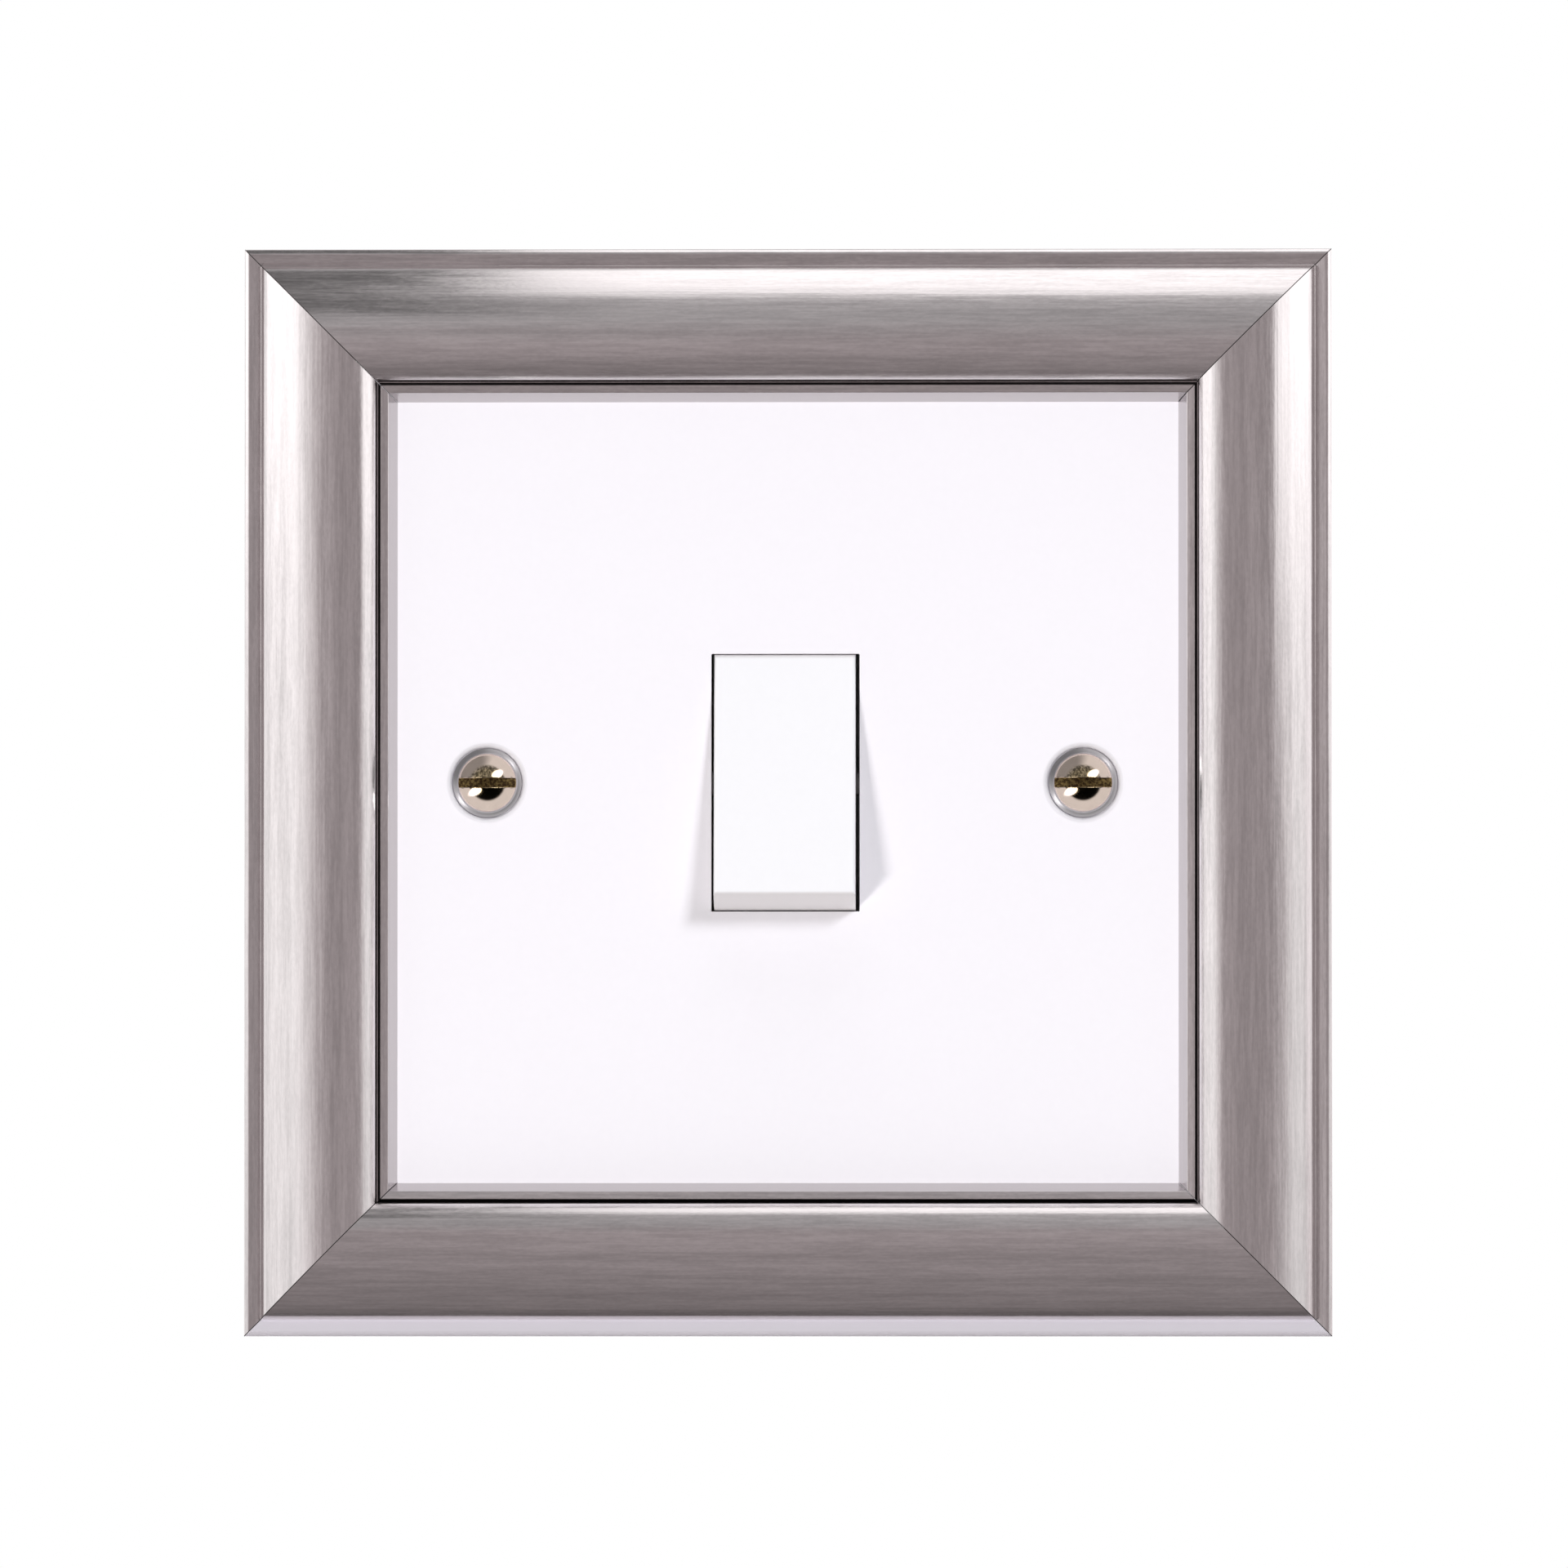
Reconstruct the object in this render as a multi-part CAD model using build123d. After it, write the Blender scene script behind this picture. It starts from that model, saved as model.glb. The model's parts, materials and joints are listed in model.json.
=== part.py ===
from build123d import *
from math import asin, cos, degrees, radians, sin, sqrt
import os

# A one-gang rocker light switch: a white moulded switch plate, held by two raised
# countersunk screws, inside a mitred surround of extruded metal moulding.
#
# Frame: X points to the viewer's right, Z up, and the front faces -Y. The origin lies
# midway between the two fixing holes, on the wall plane y = 0. What stands in front of
# the wall has y < 0, and what goes into the wall box has y > 0. All sizes are in mm.

# Switch plate: a moulded tray, open behind
plate_size = 86.0
plate_depth = 7.0
plate_wall = 2.0
skirt_wall = 1.8
plate_corner_r = 2.5
plate_front_chamfer = 0.8
rib_wall = 1.2
rib_depth = 3.0
rib_x = 21.5
rib_z = 26.5

# Fixing screws and their bosses in the plate
fixing_spacing = 60.3
fixing_boss_r = 5.4
fixing_hole_r = 2.1
fixing_screw_r = 1.75
fixing_neck_r = 1.5
fixing_screw_reach = 18.0
fixing_head_r = 3.5
fixing_dome_r = 3.05
fixing_dome_height = 1.25
fixing_rim_sink = 0.45
fixing_rim_height = 0.2
fixing_slot_width = 0.95
fixing_slot_length = 5.7
recess_gap = 0.1
recess_edge = 0.35

# Rocker: a flat front face between two ends that are arcs about the trunnions
rocker_width = 14.3
rocker_side_gap = 0.25
aperture_height = 26.0
rocker_end_gap = 0.12
rocker_tilt = 8.4
pivot_depth = 3.4
rocker_skirt = 1.0
rocker_edge_r = 0.35
rocker_front_wall = 2.0
rocker_side_wall = 1.5
trunnion_r = 1.2
trunnion_length = 1.85
trunnion_gap = 0.05
barrel_r = 2.6
barrel_reach = 7.0
barrel_web = 1.0

# Plunger and spring in the rocker's barrel
plunger_r = 1.75
plunger_gap = 0.05
plunger_tip_r = 1.2
plunger_reach = 9.0
plunger_guide = 4.2
plunger_nose = 1.0
plunger_spigot_r = 0.9
plunger_spigot_length = 1.2
spring_wire = 0.38
spring_r = 1.35
spring_turns = 4
spring_end_gap = 0.05

# Carrier: the front moulding of the module, with the rocker's well
carrier_half_x = 10.2
carrier_half_z = 16.2
carrier_back = 2.4
well_side_gap = 0.3
well_end_gap = 0.35
stop_gap = 0.07
barrel_slot_gap = 0.6
ear_offset = 3.4
ear_r = 3.2

# Base: the rear moulding, with the contact chamber and the terminal bays
base_back = 17.0
chamber_half_x = 6.9
chamber_half_z = 9.4
bay_gap = 0.15

# Module screws
module_screw_r = 1.5
module_hole_r = 1.6
module_boss_r = 3.1
module_screw_grip = 4.0
module_head_r = 2.6
module_head_height = 1.8
module_slot_width = 0.8
module_slot_depth = 0.9
pilot_extra = 0.4

# See-saw contact blade with its tips
blade_half_width = 2.3
blade_half_length = 8.6
blade_thickness = 0.8
blade_corner_r = 0.8
blade_gap = 0.05
blade_tilt = 9.5
knife_gap = 0.05
knife_half_angle = 35.0
groove_depth = 0.3
groove_half_angle = 55.0
tip_offset = 6.6
moving_tip_r = 1.3
moving_tip_height = 0.6
moving_tip_dome = 0.25
contact_gap = 0.05

# Fixed contacts and the strips that carry them
fixed_tip_r = 1.5
fixed_tip_height = 0.6
strip_thickness = 0.8
strip_pad_right = 1.9
strip_pad_half = 1.7
strip_inner_x = 2.8
strip_width = 3.8
strip_end_z = 14.2
cradle_half_z = 1.6
cheek_gap = 0.15
cheek_wall = 0.65
cheek_rise = 3.4
knife_half_width = 2.0

# Terminals
terminal_x = 5.0
terminal_z = 11.6
terminal_width = 6.6
terminal_length = 7.6
terminal_wall = 0.9
wire_bore_r = 1.9
clamp_wall = 2.3
clamp_screw_r = 1.75
clamp_tip_gap = 0.1
clamp_head_r = 2.5
clamp_head_height = 1.4
clamp_slot_width = 0.9
clamp_slot_depth = 0.8

# Surround: section of the moulding, measured from its outer edge and from the wall
rail_width = 15.5
heel_width = 10.95
foam_thickness = 0.8
side_height = 8.0
side_edge_r = 0.6
quirk_offset = 1.7
quirk_drop = 0.3
flank_r = 3.5
crown_offset = 10.2
crown_height = 13.0
shoulder_offset = 13.4
shoulder_drop = 1.6
step_run = 0.15
step_drop = 1.4
slip_run = 1.1
slip_drop = 0.5
sight_height = 0.45
lip_gap = 0.1
rebate_gap = 1.05
rail_wall = 1.3
rebate_wall = 1.2
crown_wall = 1.5
channel_lip = 1.6
channel_lip_height = 1.2
channel_ledge = 4.3
ledge_width = 1.2
lip_wall = 1.3
nose_wall = 1.4
mitre_gap = 0.08
hang_gap = 0.05
surround_shift_x = 0.3

# Corner joints of the surround
angle_side_gap = 0.12
angle_lip_gap = 0.05
angle_thickness = 1.6
angle_leg = 26.0
shim_thickness = 0.6
shim_leg = 24.0
corner_screw_r = 1.5
corner_screw_gap = 0.02
corner_screw_inset = 6.0
corner_slot_width = 0.6
corner_slot_depth = 0.7

# Foam strips behind the surround
foam_width = 8.6
foam_inset = 1.2
foam_end_gap = 1.0


def block(x_range, y_range, z_range):
    """A box given by its limits along each axis."""
    size = [high - low for low, high in (x_range, y_range, z_range)]
    middle = [(high + low) / 2 for low, high in (x_range, y_range, z_range)]
    return Pos(*middle) * Box(*size)


def rod(radius, start, direction, length):
    """A round rod from a start point along a direction."""
    return extrude(Plane(origin=start, z_dir=direction) * Circle(radius), length)


def turned(outline):
    """A turned solid: an outline of edges in (radius, y), turned about the Y axis."""
    return revolve(make_face(outline), Axis.Y)


def tilted(shape, angle, y):
    """A shape turned about a line along X at the given depth and z = 0."""
    return Pos(0, y, 0) * Rot(angle, 0, 0) * Pos(0, -y, 0) * shape


def slotted_screw(shank_r, tip_y, seat_y, head_r, head_height, slot_width, slot_depth):
    """A cheese-head screw driven from behind, with its seat at seat_y."""
    screw = rod(shank_r, (0, tip_y, 0), (0, 1, 0), seat_y - tip_y)
    screw += rod(head_r, (0, seat_y, 0), (0, 1, 0), head_height)
    head_top = seat_y + head_height
    slot_x = (-head_r, head_r)
    slot_z = (-slot_width / 2, slot_width / 2)
    return screw - block(slot_x, (head_top - slot_depth, head_top), slot_z)


# Rocker geometry worked out from the driving sizes
ear_z = carrier_half_z + ear_offset
pivot_y = -(plate_depth - pivot_depth)
aperture_half_x = rocker_width / 2 + rocker_side_gap
aperture_r = sqrt((aperture_height / 2) ** 2 + pivot_depth ** 2)
rocker_r = aperture_r - rocker_end_gap
tilt_sin = sin(radians(rocker_tilt))
tilt_cos = cos(radians(rocker_tilt))
face_angle = asin(pivot_depth / rocker_r) + radians(rocker_tilt)
face_reach = rocker_r * sin(face_angle)
skirt_half = sqrt(rocker_r ** 2 - rocker_skirt ** 2)
well_floor_y = pivot_y + rocker_skirt * tilt_cos + skirt_half * tilt_sin + stop_gap
plate_back_y = -(plate_depth - plate_wall)
ear_back = 2 * carrier_back

# Depths of the contact set, from the plunger's tip at mid-travel
blade_front_y = pivot_y + plunger_reach + plunger_tip_r + blade_gap
blade_back_y = blade_front_y + blade_thickness
knife_y = blade_back_y + knife_gap
dome_r = (moving_tip_r ** 2 + moving_tip_dome ** 2) / (2 * moving_tip_dome)
blade_sin = sin(radians(blade_tilt))
blade_cos = cos(radians(blade_tilt))
dome_arm = blade_back_y + moving_tip_height - dome_r - knife_y
fixed_face_y = knife_y + dome_arm * blade_cos + tip_offset * blade_sin + dome_r + contact_gap
fixed_tip_z = tip_offset * blade_cos - dome_arm * blade_sin
strip_front_y = fixed_face_y + fixed_tip_height
strip_back_y = strip_front_y + strip_thickness
wire_y = strip_back_y + terminal_wall + wire_bore_r
terminal_back_y = wire_y + wire_bore_r + clamp_wall

# Surround geometry worked out from the driving sizes
surround_half = plate_size / 2 + rebate_gap + heel_width
surround_shift_z = hang_gap - rebate_gap
lip_height = plate_depth + lip_gap
rail_back = foam_thickness
quirk_height = side_height - quirk_drop
channel_inner = heel_width - rebate_wall
channel_floor = rail_back + channel_lip_height
channel_roof = rail_back + channel_ledge


def switch_plate():
    """The moulded plate: tray, ribs, fixing bosses and the rocker's aperture."""
    half = plate_size / 2
    front = Plane(origin=(0, 0, 0), x_dir=(1, 0, 0), z_dir=(0, -1, 0))
    body = extrude(front * RectangleRounded(plate_size, plate_size, plate_corner_r), plate_depth)
    body = chamfer(body.faces().sort_by(Axis.Y)[0].edges(), plate_front_chamfer)
    inside = plate_size - 2 * skirt_wall
    inner_corner_r = max(plate_corner_r - skirt_wall, plate_corner_r / 4)
    tray = extrude(front * RectangleRounded(inside, inside, inner_corner_r), plate_depth - plate_wall)
    body -= tray
    rib_front = plate_back_y + rib_depth
    reach = half - skirt_wall
    for side in (-1, 1):
        x_mid = side * rib_x
        z_mid = side * rib_z
        upright = (x_mid - rib_wall / 2, x_mid + rib_wall / 2)
        level = (z_mid - rib_wall / 2, z_mid + rib_wall / 2)
        body += block(upright, (plate_back_y, rib_front), (-reach, reach))
        body += block((-reach, reach), (plate_back_y, rib_front), level)
        fixing_x = side * fixing_spacing / 2
        body += rod(fixing_boss_r, (fixing_x, plate_back_y, 0), (0, 1, 0), -plate_back_y)
        body += rod(module_boss_r, (0, plate_back_y, side * ear_z), (0, 1, 0), -plate_back_y)
    seat_y = fixing_seat_y()
    recess_r = fixing_head_r + recess_gap
    recess_floor = seat_y - recess_gap
    mouth_r = recess_r + recess_edge
    outline = [
        Line((0, -plate_depth), (mouth_r, -plate_depth)),
        Line((mouth_r, -plate_depth), (recess_r, recess_edge - plate_depth)),
        Line((recess_r, recess_edge - plate_depth), (recess_r, recess_floor)),
        Line((recess_r, recess_floor), (fixing_hole_r, recess_floor + recess_r - fixing_hole_r)),
        Line((fixing_hole_r, recess_floor + recess_r - fixing_hole_r), (fixing_hole_r, 0)),
        Line((fixing_hole_r, 0), (0, 0)),
        Line((0, 0), (0, -plate_depth)),
    ]
    countersink = turned(outline)
    pilot_depth = module_screw_grip + pilot_extra
    for side in (-1, 1):
        body -= Pos(side * fixing_spacing / 2, 0, 0) * countersink
        body -= rod(module_screw_r, (0, 0, side * ear_z), (0, -1, 0), pilot_depth)
    aperture = rod(aperture_r, (-aperture_half_x, pivot_y, 0), (1, 0, 0), 2 * aperture_half_x)
    return body - aperture


def fixing_seat_y():
    """Depth of the edge where the fixing screw's rim meets its cone."""
    return -plate_depth + fixing_rim_sink + fixing_rim_height


def fixing_screw(x):
    """A raised countersunk screw with a level slot, threaded from the wall plane on."""
    seat_y = fixing_seat_y()
    rim_y = seat_y - fixing_rim_height
    cone_end = seat_y + fixing_head_r - fixing_neck_r
    tip_y = fixing_screw_reach
    top_y = rim_y - fixing_dome_height
    dome_sphere = (fixing_dome_r ** 2 + fixing_dome_height ** 2) / (2 * fixing_dome_height)
    outline = [
        Line((0, top_y), (0, tip_y)),
        Line((0, tip_y), (fixing_screw_r, tip_y)),
        Line((fixing_screw_r, tip_y), (fixing_screw_r, 0)),
        Line((fixing_screw_r, 0), (fixing_neck_r, 0)),
        Line((fixing_neck_r, 0), (fixing_neck_r, cone_end)),
        Line((fixing_neck_r, cone_end), (fixing_head_r, seat_y)),
        Line((fixing_head_r, seat_y), (fixing_head_r, rim_y)),
        Line((fixing_head_r, rim_y), (fixing_dome_r, rim_y)),
        RadiusArc((fixing_dome_r, rim_y), (0, top_y), dome_sphere),
    ]
    screw = turned(outline)
    half_slot = fixing_slot_length / 2
    slot_rise = sqrt(dome_sphere ** 2 - half_slot ** 2) - (dome_sphere - fixing_dome_height)
    slot_x = (-fixing_head_r, fixing_head_r)
    slot_z = (-fixing_slot_width / 2, fixing_slot_width / 2)
    screw -= block(slot_x, (top_y, rim_y - slot_rise), slot_z)
    return Pos(x, 0, 0) * screw


def rocker():
    """The rocker: arc-ended shell, trunnions and plunger barrel, tilted to bottom-out."""
    half_x = rocker_width / 2
    shell = rod(rocker_r, (-half_x, pivot_y, 0), (1, 0, 0), rocker_width)
    face_y = pivot_y - face_reach
    skirt_y = pivot_y + rocker_skirt
    shell &= block((-half_x, half_x), (face_y, skirt_y), (-rocker_r, rocker_r))
    shell = fillet(shell.faces().sort_by(Axis.Y)[0].edges(), rocker_edge_r)
    inner_x = half_x - rocker_side_wall
    inner_r = rocker_r - rocker_side_wall
    inner_y = face_y + rocker_front_wall
    hollow = rod(inner_r, (-inner_x, pivot_y, 0), (1, 0, 0), 2 * inner_x)
    hollow &= block((-inner_x, inner_x), (inner_y, skirt_y), (-inner_r, inner_r))
    shell -= hollow
    barrel_length = pivot_y + barrel_reach - inner_y
    shell += rod(barrel_r, (0, inner_y, 0), (0, 1, 0), barrel_length)
    web_z = (-barrel_web / 2, barrel_web / 2)
    shell += block((-inner_x, inner_x), (inner_y, skirt_y), web_z)
    for side in (-1, 1):
        start_x = side * inner_x
        length = rocker_side_wall + trunnion_length
        shell += rod(trunnion_r, (start_x, pivot_y, 0), (side, 0, 0), length)
    shell -= rod(plunger_r + plunger_gap, (0, inner_y, 0), (0, 1, 0), barrel_length)
    return tilted(shell, -rocker_tilt, pivot_y)


def plunger():
    """The plunger: guide, tapered nose with a round tip, and a spigot for the spring."""
    tip_y = pivot_y + plunger_reach
    nose_y = tip_y - plunger_nose
    guide_y = nose_y - plunger_guide
    spigot_y = guide_y - plunger_spigot_length
    outline = [
        Line((0, spigot_y), (plunger_spigot_r, spigot_y)),
        Line((plunger_spigot_r, spigot_y), (plunger_spigot_r, guide_y)),
        Line((plunger_spigot_r, guide_y), (plunger_r, guide_y)),
        Line((plunger_r, guide_y), (plunger_r, nose_y)),
        Line((plunger_r, nose_y), (plunger_tip_r, tip_y)),
        RadiusArc((plunger_tip_r, tip_y), (0, tip_y + plunger_tip_r), -plunger_tip_r),
        Line((0, tip_y + plunger_tip_r), (0, spigot_y)),
    ]
    return tilted(turned(outline), -rocker_tilt, pivot_y)


def plunger_spring():
    """The coil spring between the barrel's floor and the plunger's shoulder.

    Each half turn is an arc in a leaning plane, and its ends run level into the next one.
    The wire is square in section, which keeps the facets few.
    """
    floor_y = pivot_y - face_reach + rocker_front_wall + spring_end_gap + spring_wire / 2
    shoulder_y = pivot_y + plunger_reach - plunger_nose - plunger_guide
    rise = (shoulder_y - spring_end_gap - spring_wire / 2 - floor_y) / (2 * spring_turns)
    wire = None
    for half_turn in range(2 * spring_turns):
        side = 1 if half_turn % 2 == 0 else -1
        start = Vector(side * spring_r, floor_y + half_turn * rise, 0)
        centre = start + Vector(-side * spring_r, rise / 2, 0)
        normal = (start - centre).cross(Vector(0, 0, side)).normalized()
        level = Plane(origin=start, x_dir=start - centre, z_dir=(0, 0, side))
        section = level * Rectangle(spring_wire, spring_wire)
        turn = revolve(section, Axis(centre, normal), 180)
        wire = turn if wire is None else wire + turn
    return tilted(wire, -rocker_tilt, pivot_y)


def rocker_carrier():
    """The front moulding of the module: well, trunnion saddles, stops and ears."""
    outer_x = (-carrier_half_x, carrier_half_x)
    body = block(outer_x, (plate_back_y, carrier_back), (-carrier_half_z, carrier_half_z))
    body += ears(0, carrier_back)
    well_x = rocker_width / 2 + well_side_gap
    well_r = rocker_r + well_end_gap
    well = rod(well_r, (-well_x, pivot_y, 0), (1, 0, 0), 2 * well_x)
    well &= block((-well_x, well_x), (plate_back_y, well_floor_y), (-well_r, well_r))
    body -= well
    saddle_r = trunnion_r + trunnion_gap
    body -= rod(saddle_r, (-carrier_half_x, pivot_y, 0), (1, 0, 0), 2 * carrier_half_x)
    body -= block(outer_x, (plate_back_y, pivot_y), (-saddle_r, saddle_r))
    slot_x = barrel_r + barrel_slot_gap
    swing = (carrier_back - pivot_y) * tilt_sin / tilt_cos
    slot_z = barrel_r / tilt_cos + swing + barrel_slot_gap
    body -= block((-slot_x, slot_x), (well_floor_y, carrier_back), (-slot_z, slot_z))
    for side in (-1, 1):
        body -= rod(module_hole_r, (0, 0, side * ear_z), (0, 1, 0), carrier_back)
    return body


def ears(front_y, back_y):
    """The upper and lower screw ears of a module moulding."""
    thickness = back_y - front_y
    pair = block((-ear_r, ear_r), (front_y, back_y), (-ear_z, ear_z))
    for side in (-1, 1):
        pair += rod(ear_r, (0, front_y, side * ear_z), (0, 1, 0), thickness)
    return pair


def strip_outlines():
    """Plan rectangles of each strip: node name to a list of (x range, z range)."""
    outer_x = strip_inner_x + strip_width
    pad_low = fixed_tip_z - strip_pad_half
    pad_high = fixed_tip_z + strip_pad_half
    cradle_left = -(blade_half_width + cheek_gap + cheek_wall)
    upper_tail = ((-outer_x, -strip_inner_x), (pad_low, strip_end_z))
    upper_pad = ((-outer_x, strip_pad_right), (pad_low, pad_high))
    lower_tail = ((-outer_x, -strip_inner_x), (-strip_end_z, -pad_low))
    lower_pad = ((-outer_x, strip_pad_right), (-pad_high, -pad_low))
    common_tail = ((strip_inner_x, outer_x), (-cradle_half_z, strip_end_z))
    cradle = ((cradle_left, outer_x), (-cradle_half_z, cradle_half_z))
    return {
        "strip_l1": [upper_tail, upper_pad],
        "strip_l2": [lower_tail, lower_pad],
        "strip_common": [common_tail, cradle],
    }


def terminal_places():
    """Centre of each terminal block in X and Z."""
    return {
        "common": (terminal_x, terminal_z),
        "l1": (-terminal_x, terminal_z),
        "l2": (-terminal_x, -terminal_z),
    }


def switch_base():
    """The rear moulding: contact chamber, strip seats and open terminal bays."""
    outer_x = (-carrier_half_x, carrier_half_x)
    body = block(outer_x, (carrier_back, base_back), (-carrier_half_z, carrier_half_z))
    body += ears(carrier_back, ear_back)
    chamber_x = (-chamber_half_x, chamber_half_x)
    chamber_z = (-chamber_half_z, chamber_half_z)
    body -= block(chamber_x, (carrier_back, strip_back_y), chamber_z)
    for rectangles in strip_outlines().values():
        for x_range, z_range in rectangles:
            wide_x = (x_range[0] - bay_gap, x_range[1] + bay_gap)
            wide_z = (z_range[0] - bay_gap, z_range[1] + bay_gap)
            body -= block(wide_x, (strip_front_y - bay_gap, strip_back_y), wide_z)
    bay_half = terminal_width / 2 + bay_gap
    for x, z in terminal_places().values():
        inner_z = abs(z) - terminal_length / 2 - bay_gap
        low_z = min(inner_z, carrier_half_z) if z > 0 else -carrier_half_z
        high_z = carrier_half_z if z > 0 else -inner_z
        body -= block((x - bay_half, x + bay_half), (strip_back_y, base_back), (low_z, high_z))
    for side in (-1, 1):
        body -= rod(module_hole_r, (0, carrier_back, side * ear_z), (0, 1, 0), ear_back - carrier_back)
    return body


def strip(name):
    """A stamped contact strip; the common one has the knife edge and two cheeks."""
    body = None
    for x_range, z_range in strip_outlines()[name]:
        piece = block(x_range, (strip_front_y, strip_back_y), z_range)
        body = piece if body is None else body + piece
    if name == "strip_common":
        rise = strip_front_y - knife_y
        foot = min(rise * sin(radians(knife_half_angle)), cradle_half_z)
        edge = Polyline((knife_y, 0), (strip_front_y, -foot), (strip_front_y, foot), close=True)
        side_on = Plane(origin=(-knife_half_width, 0, 0), x_dir=(0, 1, 0), z_dir=(1, 0, 0))
        body += extrude(side_on * make_face(edge), 2 * knife_half_width)
        for side in (-1, 1):
            near = side * (blade_half_width + cheek_gap)
            far = near + side * cheek_wall
            cheek_x = (min(near, far), max(near, far))
            cheek_y = (strip_front_y - cheek_rise, strip_front_y)
            body += block(cheek_x, cheek_y, (-cradle_half_z, cradle_half_z))
    return body


def fixed_tip(sign):
    """A silver button on a fixed strip, with its face towards the blade."""
    return rod(fixed_tip_r, (0, fixed_face_y, sign * fixed_tip_z), (0, 1, 0), fixed_tip_height)


def moving_contact():
    """The see-saw blade with its groove on the knife edge, tilted bottom-back."""
    level = Plane(origin=(0, blade_back_y, 0), x_dir=(1, 0, 0), z_dir=(0, -1, 0))
    outline = RectangleRounded(2 * blade_half_width, 2 * blade_half_length, blade_corner_r)
    blade = extrude(level * outline, blade_thickness)
    mouth = groove_depth * sin(radians(groove_half_angle)) / cos(radians(groove_half_angle))
    groove_y = blade_back_y - groove_depth
    groove = Polyline((groove_y, 0), (blade_back_y, -mouth), (blade_back_y, mouth), close=True)
    side_on = Plane(origin=(-blade_half_width, 0, 0), x_dir=(0, 1, 0), z_dir=(1, 0, 0))
    blade -= extrude(side_on * make_face(groove), 2 * blade_half_width)
    return tilted(blade, blade_tilt, knife_y)


def moving_tip(sign):
    """A domed silver button on the back of the blade."""
    rim_y = blade_back_y + moving_tip_height - moving_tip_dome
    outline = [
        Line((0, blade_back_y), (moving_tip_r, blade_back_y)),
        Line((moving_tip_r, blade_back_y), (moving_tip_r, rim_y)),
        RadiusArc((moving_tip_r, rim_y), (0, rim_y + moving_tip_dome), -dome_r),
        Line((0, rim_y + moving_tip_dome), (0, blade_back_y)),
    ]
    button = Pos(0, 0, sign * tip_offset) * turned(outline)
    return tilted(button, blade_tilt, knife_y)


def terminal(x, z):
    """A brass block with a wire bore along Z and a threaded clamp hole from behind."""
    x_range = (x - terminal_width / 2, x + terminal_width / 2)
    z_range = (z - terminal_length / 2, z + terminal_length / 2)
    body = block(x_range, (strip_back_y, terminal_back_y), z_range)
    body -= rod(wire_bore_r, (x, wire_y, z_range[0]), (0, 0, 1), terminal_length)
    return body - rod(clamp_screw_r, (x, wire_y, z), (0, 1, 0), terminal_back_y - wire_y)


def terminal_screw(x, z):
    """The clamp screw of a terminal, backed off to leave the wire bore free."""
    screw = slotted_screw(
        clamp_screw_r,
        wire_y + wire_bore_r + clamp_tip_gap,
        terminal_back_y,
        clamp_head_r,
        clamp_head_height,
        clamp_slot_width,
        clamp_slot_depth,
    )
    return Pos(x, 0, z) * screw


def module_screw(sign):
    """A screw that holds base and carrier to the plate's boss."""
    screw = slotted_screw(
        module_screw_r,
        -module_screw_grip,
        ear_back,
        module_head_r,
        module_head_height,
        module_slot_width,
        module_slot_depth,
    )
    return Pos(0, 0, sign * ear_z) * screw


def flank_join(rise, run, small_r):
    """Radius of the crown's arc and the angle from upright where it meets the flank's."""
    large_r = ((run - small_r) ** 2 + rise ** 2 - small_r ** 2) / (2 * (rise - small_r))
    return large_r, degrees(asin((run - small_r) / (large_r - small_r)))


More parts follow.
